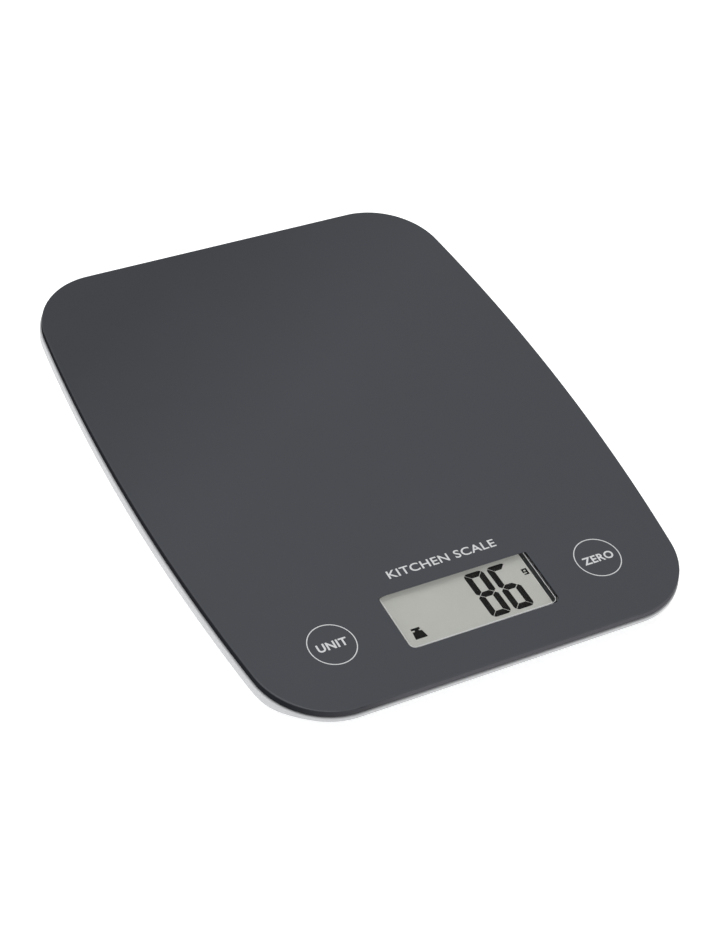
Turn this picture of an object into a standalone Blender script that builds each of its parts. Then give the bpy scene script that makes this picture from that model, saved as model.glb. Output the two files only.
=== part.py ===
"""Slim glass kitchen scale: a printed glass platform on a shallow moulded tray, standing on four
sensing feet, with a liquid-crystal display, two touch pads and a coin cell behind a hooked door.

Frame: metres, +Z up, +X to the reader's right, +Y to the back. The origin is on the table, under the
middle of the scale. The reader looks from -Y.
"""

import math

import bmesh
import bpy
import numpy as np
from mathutils import Matrix
from mathutils import Vector

OBJECT_NAME = "kitchen_scale"

# Glass platform
GLASS_WIDTH = 0.1760
GLASS_LENGTH = 0.2200
GLASS_THICKNESS = 0.0030
GLASS_CHAMFER = 0.0005
SIDE_RADIUS = 0.7450
CORNER_RADIUS = 0.0274
OVERALL_HEIGHT = 0.0160

# Clearances
TOUCH_GAP = 0.0003
SCREW_GAP = 0.0003

# Tray
TRAY_WALL = 0.0020
TRAY_CLEARANCE = 0.0020
LIP_OVERHANG = 0.0005
LIP_WIDTH = 0.0012
LIP_HEIGHT = 0.0021
LEDGE_WIDTH = 0.0048
LEDGE_THICKNESS = 0.0020
TAPE_THICKNESS = 0.0006
TAPE_WIDTH = 0.0035
SKIRT_SHOULDER = 0.0026
SKIRT_RUN = 0.0089
SKIRT_FOOT = 0.0035
SHOULDER_DROP = 0.0046
RIB_WIDTH = 0.0014
RIB_HEIGHT = 0.0030
RIB_SETBACK = 0.0085

# Feet and load sensors
FOOT_SIDE_INSET = 0.0340
FOOT_END_INSET = 0.0330
FOOT_DIAMETER = 0.0190
FOOT_TRAVEL = 0.0006
FOOT_FLANGE = 0.0009
FLANGE_THICKNESS = 0.0008
POST_DIAMETER = 0.0050
PAD_THICKNESS = 0.0016
PAD_RIM = 0.0005
CUP_DISH = 0.0006
HOLDER_WALL = 0.0026
HOLDER_LEDGE = 0.0010
SENSOR_THICKNESS = 0.0012
SENSOR_SLOT = 0.0016
SENSOR_BEAM = 0.0030
TONGUE_WIDTH = 0.0070
EAR_WIDTH = 0.0070
EAR_THICKNESS = 0.0016
EAR_REACH = 0.0036

# Display and circuit board
PRINT_OFFSET_X = 0.0015
PRINT_END_INSET = 0.0286
WINDOW_WIDTH = 0.0586
WINDOW_HEIGHT = 0.0241
LCD_SHORT_RIGHT = 0.0008
FRAME_OVERLAP = 0.0005
LCD_END_OVERLAP = 0.0019
LCD_THICKNESS = 0.0020
LCD_DEPTH = 0.0014
FRAME_WALL = 0.0017
FRAME_CORNER = 0.0014
CONNECTOR_DEPTH = 0.0020
BOARD_MARGIN_X = 0.0050
BOARD_MARGIN_Y = 0.0012
BOARD_THICKNESS = 0.0012
BOARD_STANDOFF = 0.0029
BOARD_CORNER = 0.0012
CHIP_DIAMETER = 0.0100
CHIP_THICKNESS = 0.0010
TOUCH_SPACING = 0.1060
TOUCH_DIAMETER = 0.0150
ELECTRODE_THICKNESS = 0.0003
TAIL_WIDTH = 0.0036

# Battery bay
CELL_DIAMETER = 0.0200
CELL_THICKNESS = 0.0032
CELL_RADIAL_GAP = 0.0007
CELL_Y = 0.0240
DOOR_MARGIN_SIDE = 0.0050
DOOR_MARGIN_HOOK = 0.0050
DOOR_MARGIN_LATCH = 0.0030
DOOR_THICKNESS = 0.0015
DOOR_CORNER = 0.0010
HOOK_REACH = 0.0014
HOOK_WIDTH = 0.0050
HOOK_THICKNESS = 0.0006
BAY_WALL = 0.0020
THUMB_RADIUS = 0.0060
THUMB_DEPTH = 0.0010
CONTACT_THICKNESS = 0.0003
CONTACT_WIDTH = 0.0040
CONTACT_SPRING_ROOM = 0.0010

# Screws and leads
SCREW_DIAMETER = 0.0022
SCREW_HEAD_DIAMETER = 0.0042
SCREW_HEAD_HEIGHT = 0.0013
SCREW_LENGTH = 0.0038
BOSS_WALL = 0.0014
LEAD_DIAMETER = 0.0012

# Heights and places that follow from the sizes above
GLASS_BOTTOM = OVERALL_HEIGHT - GLASS_THICKNESS
LIP_TOP = GLASS_BOTTOM - TOUCH_GAP
LEDGE_TOP = LIP_TOP - TAPE_THICKNESS - TOUCH_GAP
TRAY_BOTTOM = TRAY_CLEARANCE
FLOOR_TOP = TRAY_BOTTOM + TRAY_WALL
FOOT_X = GLASS_WIDTH / 2 - FOOT_SIDE_INSET
FOOT_Y = GLASS_LENGTH / 2 - FOOT_END_INSET
PRINT_Y = PRINT_END_INSET - GLASS_LENGTH / 2
CUP_BOTTOM = PAD_THICKNESS + TOUCH_GAP
FLANGE_BOTTOM = FLOOR_TOP + TOUCH_GAP
FLANGE_TOP = FLANGE_BOTTOM + FLANGE_THICKNESS
FLANGE_RADIUS = FOOT_DIAMETER / 2 + TOUCH_GAP + FOOT_FLANGE
HOLDER_BORE = FLANGE_RADIUS + TOUCH_GAP
HOLDER_RADIUS = HOLDER_BORE + HOLDER_WALL
POST_TOP = FLANGE_TOP + FLANGE_THICKNESS
SENSOR_BOTTOM = POST_TOP + FOOT_TRAVEL + TOUCH_GAP
SENSOR_TOP = SENSOR_BOTTOM + SENSOR_THICKNESS
SENSOR_RADIUS = HOLDER_BORE + HOLDER_LEDGE
HOLDER_BOTTOM = FLOOR_TOP + TOUCH_GAP
HOLDER_TOP = SENSOR_TOP + TOUCH_GAP
EAR_OFFSET = HOLDER_RADIUS + EAR_REACH
EAR_BOTTOM = HOLDER_TOP - EAR_THICKNESS
BOARD_BOTTOM = FLOOR_TOP + BOARD_STANDOFF
BOARD_TOP = BOARD_BOTTOM + BOARD_THICKNESS
LCD_TOP = GLASS_BOTTOM - LCD_DEPTH
LCD_BOTTOM = LCD_TOP - LCD_THICKNESS
LCD_RIGHT = WINDOW_WIDTH / 2 - LCD_SHORT_RIGHT
LCD_HALF_Y = WINDOW_HEIGHT / 2 + LCD_END_OVERLAP
FRAME_OPENING_X = WINDOW_WIDTH / 2 + FRAME_OVERLAP
LCD_LEFT = TOUCH_GAP - FRAME_OPENING_X
FRAME_OPENING_Y = LCD_HALF_Y + TOUCH_GAP
FRAME_HALF_X = FRAME_OPENING_X + FRAME_WALL
FRAME_HALF_Y = FRAME_OPENING_Y + FRAME_WALL
BOARD_HALF_X = FRAME_HALF_X + BOARD_MARGIN_X
BOARD_HALF_Y = FRAME_HALF_Y + BOARD_MARGIN_Y
DOOR_BOTTOM = TRAY_BOTTOM
DOOR_TOP = DOOR_BOTTOM + DOOR_THICKNESS
CELL_BOTTOM = DOOR_TOP + TOUCH_GAP * 2
CELL_TOP = CELL_BOTTOM + CELL_THICKNESS
BAY_CEILING = CELL_TOP + CONTACT_SPRING_ROOM
BAY_TOP = BAY_CEILING + BAY_WALL * 0.6
DOOR_HALF_X = CELL_DIAMETER / 2 + DOOR_MARGIN_SIDE
DOOR_BACK = CELL_Y + CELL_DIAMETER / 2 + DOOR_MARGIN_HOOK
DOOR_FRONT = CELL_Y - CELL_DIAMETER / 2 - DOOR_MARGIN_LATCH

CORNER_NAMES = {
    "front_left": (-1, -1),
    "front_right": (1, -1),
    "back_left": (-1, 1),
    "back_right": (1, 1),
}

MATERIALS = {
    "back_printed_glass": ((0.062, 0.066, 0.072), 0.08, 0.0),
    "white_abs": ((0.80, 0.80, 0.79), 0.38, 0.0),
    "black_abs": ((0.020, 0.020, 0.021), 0.45, 0.0),
    "grey_lcd": ((0.42, 0.44, 0.41), 0.15, 0.0),
    "clear_tape": ((0.70, 0.70, 0.66), 0.60, 0.0),
    "grey_rubber": ((0.10, 0.10, 0.10), 0.80, 0.0),
    "sensor_steel": ((0.55, 0.55, 0.54), 0.32, 1.0),
    "green_board": ((0.020, 0.120, 0.050), 0.40, 0.0),
    "chip_resin": ((0.012, 0.012, 0.012), 0.50, 0.0),
    "striped_rubber": ((0.35, 0.30, 0.32), 0.70, 0.0),
    "copper_film": ((0.72, 0.36, 0.20), 0.35, 1.0),
    "nickel": ((0.62, 0.60, 0.56), 0.28, 1.0),
    "cell_steel": ((0.66, 0.66, 0.66), 0.24, 1.0),
    "zinc_screw": ((0.58, 0.58, 0.58), 0.30, 1.0),
    "red_wire": ((0.50, 0.03, 0.03), 0.50, 0.0),
}


def clear_scene():
    """Remove whatever the scene holds."""
    for thing in list(bpy.data.objects):
        bpy.data.objects.remove(thing, do_unlink=True)


def new_collection(name):
    """Make a collection under the scene."""
    collection = bpy.data.collections.new(name)
    bpy.context.scene.collection.children.link(collection)
    return collection


def make_material(name):
    """Make one Principled material from the table of finishes."""
    colour, roughness, metallic = MATERIALS[name]
    material = bpy.data.materials.new(name)
    material.use_nodes = True
    shader = material.node_tree.nodes["Principled BSDF"]
    shader.inputs["Base Color"].default_value = (*colour, 1.0)
    shader.inputs["Roughness"].default_value = roughness
    shader.inputs["Metallic"].default_value = metallic
    material.diffuse_color = (*colour, 1.0)
    return material


class Workshop:
    """Holds the collections, the materials and the tools that make, cut and join pieces."""

    def __init__(self):
        self.parts = new_collection(OBJECT_NAME)
        self.cutters = new_collection("cutters")
        self.materials = {name: make_material(name) for name in MATERIALS}

    def file_under(self, thing, collection):
        """Move an object to one collection."""
        for holder in list(thing.users_collection):
            holder.objects.unlink(thing)
        collection.objects.link(thing)

    def keep(self, thing, name, material):
        """Name a finished piece, give it its material and put it with the parts."""
        thing.name = name
        thing.data.name = name
        thing.data.materials.clear()
        thing.data.materials.append(self.materials[material])
        self.file_under(thing, self.parts)
        if thing.type == "MESH":
            thing.data.shade_smooth()
            thing.data.set_sharp_from_angle(angle=math.radians(35))
        return thing

    def as_tool(self, thing):
        """Put an object with the cutters, out of sight of the finished part."""
        thing.hide_render = True
        thing.display_type = "WIRE"
        self.file_under(thing, self.cutters)
        return thing

    def boolean(self, target, tool, operation):
        """Cut a tool from a piece, or join it on."""
        self.as_tool(tool)
        change = target.modifiers.new(operation.lower(), "BOOLEAN")
        change.operation = operation
        change.solver = "EXACT"
        change.object = tool
        return target

    def cut(self, target, tool):
        """Cut the tool's shape out of the target."""
        return self.boolean(target, tool, "DIFFERENCE")

    def join(self, target, tool):
        """Join the tool's shape to the target."""
        return self.boolean(target, tool, "UNION")


def block(centre, size, rounding=0.0, segments=2):
    """A rectangular block, with its upright edges rounded when a rounding is given."""
    bpy.ops.mesh.primitive_cube_add(size=1.0, location=(0, 0, 0))
    thing = bpy.context.object
    thing.data.transform(Matrix.Diagonal((*size, 1.0)))
    thing.location = centre
    if rounding > 0.0:
        mesh = bmesh.new()
        mesh.from_mesh(thing.data)
        upright = [e for e in mesh.edges if abs(e.verts[0].co.z - e.verts[1].co.z) > size[2] / 2]
        bmesh.ops.bevel(
            mesh,
            geom=upright,
            offset=rounding,
            segments=segments,
            profile=0.5,
            affect="EDGES",
        )
        mesh.to_mesh(thing.data)
        mesh.free()
    return thing


def slab(low, high, rounding=0.0, segments=2):
    """A block between two opposite corners."""
    low = Vector(low)
    high = Vector(high)
    return block((low + high) / 2, high - low, rounding, segments)


def rod(place, radius, bottom, top, sides=24):
    """An upright round bar at an x and y place."""
    bpy.ops.mesh.primitive_cylinder_add(
        vertices=sides,
        radius=radius,
        depth=top - bottom,
        location=(place[0], place[1], (bottom + top) / 2),
    )
    return bpy.context.object


def turned(place, profile, sides=24):
    """A piece turned about an upright axis. The profile runs down its outer side, as (radius, z)."""
    mesh = bpy.data.meshes.new("profile")
    points = [(radius, 0.0, height) for radius, height in profile]
    edges = [(i, i + 1) for i in range(len(points) - 1)]
    mesh.from_pydata(points, edges, [])
    thing = bpy.data.objects.new("turned", mesh)
    bpy.context.scene.collection.objects.link(thing)
    thing.location = (place[0], place[1], 0.0)
    screw = thing.modifiers.new("turn", "SCREW")
    screw.axis = "Z"
    screw.angle = 2 * math.pi
    screw.steps = sides
    screw.render_steps = sides
    screw.use_merge_vertices = True
    screw.merge_threshold = 0.00001
    screw.use_smooth_shade = True
    return thing


def plate_outline(inset, side_steps=8, corner_steps=8):
    """The platform's outline, drawn in by an inset: bowed sides, straight ends, round corners.

    The side's arc has its centre on the X axis. The corner's circle touches that arc from inside and
    the straight end, so its centre is a corner radius from both.
    """
    half_width = GLASS_WIDTH / 2
    side_centre = half_width - SIDE_RADIUS
    corner_y = GLASS_LENGTH / 2 - CORNER_RADIUS
    reach = math.sqrt((SIDE_RADIUS - CORNER_RADIUS) ** 2 - corner_y**2)
    corner_x = side_centre + reach
    meeting = math.atan2(corner_y, reach)
    side = np.linspace(0.0, meeting, side_steps // 2 + 1)
    corner = np.linspace(meeting, math.pi / 2, corner_steps + 1)[1:]
    side_points = np.c_[
        side_centre + (SIDE_RADIUS - inset) * np.cos(side),
        (SIDE_RADIUS - inset) * np.sin(side),
    ]
    corner_points = np.c_[
        corner_x + (CORNER_RADIUS - inset) * np.cos(corner),
        corner_y + (CORNER_RADIUS - inset) * np.sin(corner),
    ]
    quarter = np.vstack([side_points, corner_points])
    left_back = (quarter * [-1, 1])[::-1]
    left_front = quarter * [-1, -1]
    right_front = (quarter * [1, -1])[::-1]
    return np.vstack([quarter, left_back[:-1], left_front, right_front[:-1]])


def loft(name, rings):
    """A closed solid through stacked outlines, each (inset, z), with the first and last ones capped."""
    mesh = bmesh.new()
    loops = []
    for inset, height in rings:
        outline = plate_outline(inset)
        loops.append([mesh.verts.new((x, y, height)) for x, y in outline])
    count = len(loops[0])
    for lower, upper in zip(loops, loops[1:]):
        for i in range(count):
            j = (i + 1) % count
            mesh.faces.new((lower[i], lower[j], upper[j], upper[i]))
    mesh.faces.new(loops[0][::-1])
    mesh.faces.new(loops[-1])
    bmesh.ops.recalc_face_normals(mesh, faces=mesh.faces)
    data = bpy.data.meshes.new(name)
    mesh.to_mesh(data)
    mesh.free()
    thing = bpy.data.objects.new(name, data)
    bpy.context.scene.collection.objects.link(thing)
    return thing


def make_glass(shop):
    """The tempered glass platform, with ground chamfers round both faces."""
    rings = [
        (GLASS_CHAMFER, GLASS_BOTTOM),
        (0.0, GLASS_BOTTOM + GLASS_CHAMFER),
        (0.0, OVERALL_HEIGHT - GLASS_CHAMFER),
        (GLASS_CHAMFER, OVERALL_HEIGHT),
    ]
    shop.keep(loft("glass", rings), "glass_platform", "back_printed_glass")


def make_tape(shop):
    """The ring of mounting tape that bonds the glass to the tray's ledge."""
    outer = LIP_WIDTH - LIP_OVERHANG + TOUCH_GAP
    bottom = LEDGE_TOP + TOUCH_GAP
    ring = loft("tape", [(outer, bottom), (outer, bottom + TAPE_THICKNESS)])
    inner = outer + TAPE_WIDTH
    hole = loft("tape_hole", [(inner, bottom - TOUCH_GAP), (inner, LIP_TOP)])
    shop.cut(ring, hole)
    shop.keep(ring, "mounting_tape", "clear_tape")


def tray_rings():
    """The tray's section, from the middle of its underside out, up the skirt, over the lip and in."""
    shoulder_z = LIP_TOP - SHOULDER_DROP
    run_end = SKIRT_SHOULDER + SKIRT_RUN
    run_end_z = TRAY_BOTTOM + TRAY_WALL * 0.65
    slope = (shoulder_z - run_end_z) / SKIRT_RUN
    inner_rise = TRAY_WALL * math.hypot(1.0, slope)
    ledge_outer = LIP_WIDTH - LIP_OVERHANG
    ledge_inner = ledge_outer + LEDGE_WIDTH
    ledge_under = shoulder_z + inner_rise - slope * (ledge_inner - SKIRT_SHOULDER)
    floor_edge = SKIRT_SHOULDER + (shoulder_z + inner_rise - FLOOR_TOP) / slope
    outside = [
        (run_end + SKIRT_FOOT, TRAY_BOTTOM),
        (run_end + SKIRT_FOOT * 0.45, TRAY_BOTTOM + TRAY_WALL * 0.20),
        (run_end, run_end_z),
        (SKIRT_SHOULDER, shoulder_z),
        (SKIRT_SHOULDER * 0.38, shoulder_z + SHOULDER_DROP * 0.16),
        (0.0, shoulder_z + SHOULDER_DROP * 0.34),
        (-LIP_OVERHANG, LIP_TOP - LIP_HEIGHT),
        (-LIP_OVERHANG, LIP_TOP),
    ]
    inside = [
        (ledge_outer, LIP_TOP),
        (ledge_outer, LEDGE_TOP),
        (ledge_inner, LEDGE_TOP),
        (ledge_inner, ledge_under),
        (floor_edge, FLOOR_TOP),
    ]
    return outside + inside


def make_tray(shop):
    """The white moulded tray: skirt, lip and ledge, with foot holes, bosses, ribs and battery bay."""
    tray = loft("tray", tray_rings())
    add_ribs(shop, tray)
    add_battery_bay(shop, tray)
    for side, end in CORNER_NAMES.values():
        hole = FOOT_DIAMETER / 2 + TOUCH_GAP
        place = (side * FOOT_X, end * FOOT_Y)
        shop.cut(tray, rod(place, hole, TRAY_BOTTOM - TRAY_WALL, FLOOR_TOP + TRAY_WALL))
        for turn in (-1, 1):
            boss_place = (place[0], place[1] + turn * EAR_OFFSET)
            add_boss(shop, tray, boss_place, EAR_BOTTOM - TOUCH_GAP, EAR_BOTTOM + EAR_THICKNESS)
    for place in board_screw_places():
        add_boss(shop, tray, place, BOARD_BOTTOM - TOUCH_GAP, BOARD_TOP)
    shop.keep(tray, "base_tray", "white_abs")


def add_boss(shop, tray, place, top, seat):
    """A screw boss with its pilot hole, deep enough for a screw whose head sits on the seat."""
    radius = SCREW_DIAMETER / 2 + SCREW_GAP
    depth = seat - SCREW_LENGTH - TOUCH_GAP
    shop.join(tray, rod(place, radius + BOSS_WALL, TRAY_BOTTOM + TRAY_WALL * 0.7, top, 16))
    shop.cut(tray, rod(place, radius, depth, top + TRAY_WALL, 16))


def add_ribs(shop, tray):
    """Two stiffening ribs along the floor and two across it, clear of the feet and the leads."""
    bottom = FLOOR_TOP - TRAY_WALL / 2
    top = FLOOR_TOP + RIB_HEIGHT
    half = FOOT_X - HOLDER_RADIUS - RIB_SETBACK
    for side in (-1, 1):
        along = slab(
            (side * half - RIB_WIDTH / 2, PRINT_Y + BOARD_HALF_Y + RIB_SETBACK * 2, bottom),
            (side * half + RIB_WIDTH / 2, FOOT_Y + HOLDER_RADIUS, top),
        )
        shop.join(tray, along)
    for place_y in (DOOR_FRONT - RIB_SETBACK, DOOR_BACK + RIB_SETBACK):
        across = slab(
            (-half - RIB_WIDTH, place_y - RIB_WIDTH / 2, bottom + TRAY_WALL / 8),
            (half + RIB_WIDTH, place_y + RIB_WIDTH / 2, top - RIB_WIDTH / 4),
        )
        shop.join(tray, across)


def add_battery_bay(shop, tray):
    """The coin cell's round well, the door's seat and the slots for the door's hooks."""
    seat_x = DOOR_HALF_X + TOUCH_GAP
    back = DOOR_BACK + TOUCH_GAP
    front = DOOR_FRONT - TOUCH_GAP
    bay = slab(
        (-seat_x - BAY_WALL, front - BAY_WALL, TRAY_BOTTOM + TRAY_WALL * 0.1),
        (seat_x + BAY_WALL, back + BAY_WALL * 2, BAY_TOP),
    )
    shop.join(tray, bay)
    seat = slab((-seat_x, front, TRAY_BOTTOM - TRAY_WALL), (seat_x, back, DOOR_TOP + TOUCH_GAP), DOOR_CORNER)
    shop.cut(tray, seat)
    well = rod((0.0, CELL_Y), CELL_DIAMETER / 2 + CELL_RADIAL_GAP, DOOR_BOTTOM, BAY_CEILING, 32)
    shop.cut(tray, well)
    for side in (-1, 1):
        hook_x = side * DOOR_HALF_X / 2
        slot = slab(
            (hook_x - HOOK_WIDTH / 2 - TOUCH_GAP, back - HOOK_REACH, DOOR_TOP - HOOK_THICKNESS * 1.6),
            (hook_x + HOOK_WIDTH / 2 + TOUCH_GAP, back + HOOK_REACH * 1.4, DOOR_TOP + HOOK_REACH),
        )
        shop.cut(tray, slot)
    contact_room = slab(
        (CELL_DIAMETER / 2 - CONTACT_WIDTH, CELL_Y - CONTACT_WIDTH, DOOR_TOP),
        (CELL_DIAMETER / 2 + CELL_RADIAL_GAP + CONTACT_THICKNESS * 4, CELL_Y + CONTACT_WIDTH, BAY_CEILING),
    )
    shop.cut(tray, contact_room)
    thumb = rod((0.0, front), THUMB_RADIUS, TRAY_BOTTOM - TRAY_WALL, TRAY_BOTTOM + THUMB_DEPTH, 32)
    shop.cut(tray, thumb)


def make_screw(shop, name, place, seat):
    """A pan-head screw standing on its seat, with a cross-sized recess turned in its head."""
    head_bottom = seat + TOUCH_GAP
    head_top = head_bottom + SCREW_HEAD_HEIGHT
    head = SCREW_HEAD_DIAMETER / 2
    shank = SCREW_DIAMETER / 2
    tip = head_bottom - SCREW_LENGTH
    profile = [
        (0.0, head_top - SCREW_HEAD_HEIGHT * 0.5),
        (head * 0.40, head_top - SCREW_HEAD_HEIGHT * 0.5),
        (head * 0.40, head_top),
        (head * 0.75, head_top),
        (head, head_top - SCREW_HEAD_HEIGHT * 0.45),
        (head, head_bottom),
        (shank, head_bottom),
        (shank, tip + shank * 0.6),
        (0.0, tip),
    ]
    shop.keep(turned(place, profile, 12), name, "zinc_screw")


def make_foot(shop, corner, side, end):
    """One sensing foot: rubber pad, guided cup, load sensor in its holder, and the holder's screws."""
    place = (side * FOOT_X, end * FOOT_Y)
    radius = FOOT_DIAMETER / 2
    pad = [
        (0.0, PAD_THICKNESS),
        (radius - PAD_RIM, PAD_THICKNESS),
        (radius - PAD_RIM, PAD_RIM),
        (radius - PAD_RIM * 2, 0.0),
        (0.0, 0.0),
    ]
    shop.keep(turned(place, pad), "foot_pad_" + corner, "grey_rubber")
    post = POST_DIAMETER / 2
    cup = [
        (0.0, POST_TOP),
        (post, POST_TOP),
        (post, FLANGE_TOP),
        (FLANGE_RADIUS, FLANGE_TOP),
        (FLANGE_RADIUS, FLANGE_BOTTOM),
        (radius, FLANGE_BOTTOM),
        (radius, CUP_BOTTOM),
        (0.0, CUP_BOTTOM),
    ]
    shop.keep(turned(place, cup), "foot_cup_" + corner, "white_abs")
    make_sensor(shop, corner, place)
    make_holder(shop, corner, place)
    for turn, label in ((-1, "near"), (1, "far")):
        screw_place = (place[0], place[1] + turn * EAR_OFFSET)
        make_screw(shop, "sensor_screw_" + corner + "_" + label, screw_place, HOLDER_TOP)


def make_sensor(shop, corner, place):
    """A round load sensor plate. Two curved slots leave a tongue that the foot's post bends."""
    plate = rod(place, SENSOR_RADIUS - TOUCH_GAP, SENSOR_BOTTOM, SENSOR_TOP, 32)
    reach = TONGUE_WIDTH / 2 + SENSOR_SLOT
    low = SENSOR_BOTTOM - SENSOR_THICKNESS
    high = SENSOR_TOP + SENSOR_THICKNESS
    span = SENSOR_RADIUS - SENSOR_BEAM - SENSOR_SLOT
    for side in (-1, 1):
        inner = place[0] + side * TONGUE_WIDTH / 2
        outer = place[0] + side * reach
        slot = slab(
            (min(inner, outer), place[1] - span * 0.7, low),
            (max(inner, outer), place[1] + span * 0.8, high),
        )
        shop.cut(plate, slot)
    bridge = slab(
        (place[0] - reach + SENSOR_SLOT / 4, place[1] + span * 0.8 - SENSOR_SLOT, low * 0.99),
        (place[0] + reach - SENSOR_SLOT / 4, place[1] + span * 0.8 - SENSOR_SLOT / 8, high * 1.01),
    )
    shop.cut(plate, bridge)
    shop.keep(plate, "load_sensor_" + corner, "sensor_steel")


def make_holder(shop, corner, place):
    """The sensor's holder: a ring with a seat for the plate and two screw ears."""
    holder = rod(place, HOLDER_RADIUS, HOLDER_BOTTOM, HOLDER_TOP, 32)
    ears = slab(
        (place[0] - EAR_WIDTH / 2, place[1] - EAR_OFFSET - EAR_WIDTH / 2, EAR_BOTTOM),
        (place[0] + EAR_WIDTH / 2, place[1] + EAR_OFFSET + EAR_WIDTH / 2, HOLDER_TOP - TOUCH_GAP / 6),
        EAR_WIDTH * 0.45,
        3,
    )
    shop.join(holder, ears)
    shop.cut(holder, rod(place, HOLDER_BORE, HOLDER_BOTTOM - TRAY_WALL, HOLDER_TOP + TRAY_WALL, 32))
    shop.cut(holder, rod(place, SENSOR_RADIUS, SENSOR_BOTTOM - TOUCH_GAP, HOLDER_TOP + TRAY_WALL, 32))
    for turn in (-1, 1):
        hole = (place[0], place[1] + turn * EAR_OFFSET)
        radius = SCREW_DIAMETER / 2 + SCREW_GAP
        shop.cut(holder, rod(hole, radius, HOLDER_BOTTOM - TRAY_WALL, HOLDER_TOP + TRAY_WALL, 12))
    shop.keep(holder, "sensor_holder_" + corner, "black_abs")


def board_screw_places():
    """The four board screws' places, near the board's corners."""
    inset = SCREW_HEAD_DIAMETER / 2 + TOUCH_GAP
    reach_x = BOARD_HALF_X - inset
    reach_y = BOARD_HALF_Y - inset * 1.4
    return [
        (PRINT_OFFSET_X + side * reach_x, PRINT_Y + end * reach_y)
        for side, end in CORNER_NAMES.values()
    ]


def make_board(shop):
    """The circuit board, its chip, its screws and the striped rubber that feeds the display."""
    board = slab(
        (PRINT_OFFSET_X - BOARD_HALF_X, PRINT_Y - BOARD_HALF_Y, BOARD_BOTTOM),
        (PRINT_OFFSET_X + BOARD_HALF_X, PRINT_Y + BOARD_HALF_Y, BOARD_TOP),
        BOARD_CORNER,
    )
    for place in board_screw_places():
        radius = SCREW_DIAMETER / 2 + SCREW_GAP
        shop.cut(board, rod(place, radius, BOARD_BOTTOM - TRAY_WALL, BOARD_TOP + TRAY_WALL, 12))
    shop.keep(board, "circuit_board", "green_board")
    for (corner, _), place in zip(CORNER_NAMES.items(), board_screw_places()):
        make_screw(shop, "board_screw_" + corner, place, BOARD_TOP)
    chip_top = BOARD_BOTTOM - TOUCH_GAP
    radius = CHIP_DIAMETER / 2
    chip = [
        (0.0, chip_top),
        (radius, chip_top),
        (radius * 0.9, chip_top - CHIP_THICKNESS * 0.6),
        (radius * 0.5, chip_top - CHIP_THICKNESS),
        (0.0, chip_top - CHIP_THICKNESS),
    ]
    shop.keep(turned((PRINT_OFFSET_X, PRINT_Y), chip), "driver_chip", "chip_resin")
    strip = slab(
        (PRINT_OFFSET_X + LCD_LEFT + FRAME_WALL, PRINT_Y - LCD_HALF_Y, BOARD_TOP + TOUCH_GAP),
        (
            PRINT_OFFSET_X + LCD_RIGHT - FRAME_WALL,
            PRINT_Y - LCD_HALF_Y + CONNECTOR_DEPTH,
            LCD_BOTTOM - TOUCH_GAP,
        ),
    )
    shop.keep(strip, "display_connector", "striped_rubber")


def make_display(shop):
    """The liquid-crystal panel and the black frame that holds it under the glass."""
    panel = slab(
        (PRINT_OFFSET_X + LCD_LEFT, PRINT_Y - LCD_HALF_Y, LCD_BOTTOM),
        (PRINT_OFFSET_X + LCD_RIGHT, PRINT_Y + LCD_HALF_Y, LCD_TOP),
    )
    shop.keep(panel, "lcd_panel", "grey_lcd")
    bottom = BOARD_TOP + TOUCH_GAP
    top = GLASS_BOTTOM - TOUCH_GAP
    frame = slab(
        (PRINT_OFFSET_X - FRAME_HALF_X, PRINT_Y - FRAME_HALF_Y, bottom),
        (PRINT_OFFSET_X + FRAME_HALF_X, PRINT_Y + FRAME_HALF_Y, top),
        FRAME_CORNER,
    )
    opening = slab(
        (PRINT_OFFSET_X - FRAME_OPENING_X, PRINT_Y - FRAME_OPENING_Y, bottom - TRAY_WALL),
        (PRINT_OFFSET_X + FRAME_OPENING_X, PRINT_Y + FRAME_OPENING_Y, top + TRAY_WALL),
    )
    shop.cut(frame, opening)
    shop.keep(frame, "display_frame", "black_abs")


def make_touch_electrode(shop, name, side):
    """A round film electrode under the glass, with a tail to the board."""
    place = (PRINT_OFFSET_X + side * TOUCH_SPACING / 2, PRINT_Y)
    top = GLASS_BOTTOM - TOUCH_GAP
    bottom = top - ELECTRODE_THICKNESS
    film = rod(place, TOUCH_DIAMETER / 2, bottom, top, 32)
    inner = PRINT_OFFSET_X + side * (FRAME_HALF_X + TOUCH_GAP * 2)
    tail = slab(
        (min(place[0], inner), PRINT_Y - TAIL_WIDTH / 2, bottom + ELECTRODE_THICKNESS * 0.1),
        (max(place[0], inner), PRINT_Y + TAIL_WIDTH / 2, top - ELECTRODE_THICKNESS * 0.1),
    )
    shop.join(film, tail)
    shop.keep(film, name, "copper_film")


def make_battery(shop):
    """The coin cell, its two contacts and the hooked door, whose pivot is at its back lower edge."""
    half = CELL_THICKNESS * 0.22
    radius = CELL_DIAMETER / 2
    cell = [
        (0.0, CELL_TOP),
        (radius * 0.86, CELL_TOP),
        (radius * 0.86, CELL_TOP - half),
        (radius, CELL_TOP - half),
        (radius, CELL_BOTTOM + half),
        (radius - half, CELL_BOTTOM),
        (0.0, CELL_BOTTOM),
    ]
    shop.keep(turned((0.0, CELL_Y), cell, 32), "coin_cell", "cell_steel")
    make_contacts(shop)
    make_door(shop)


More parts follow.
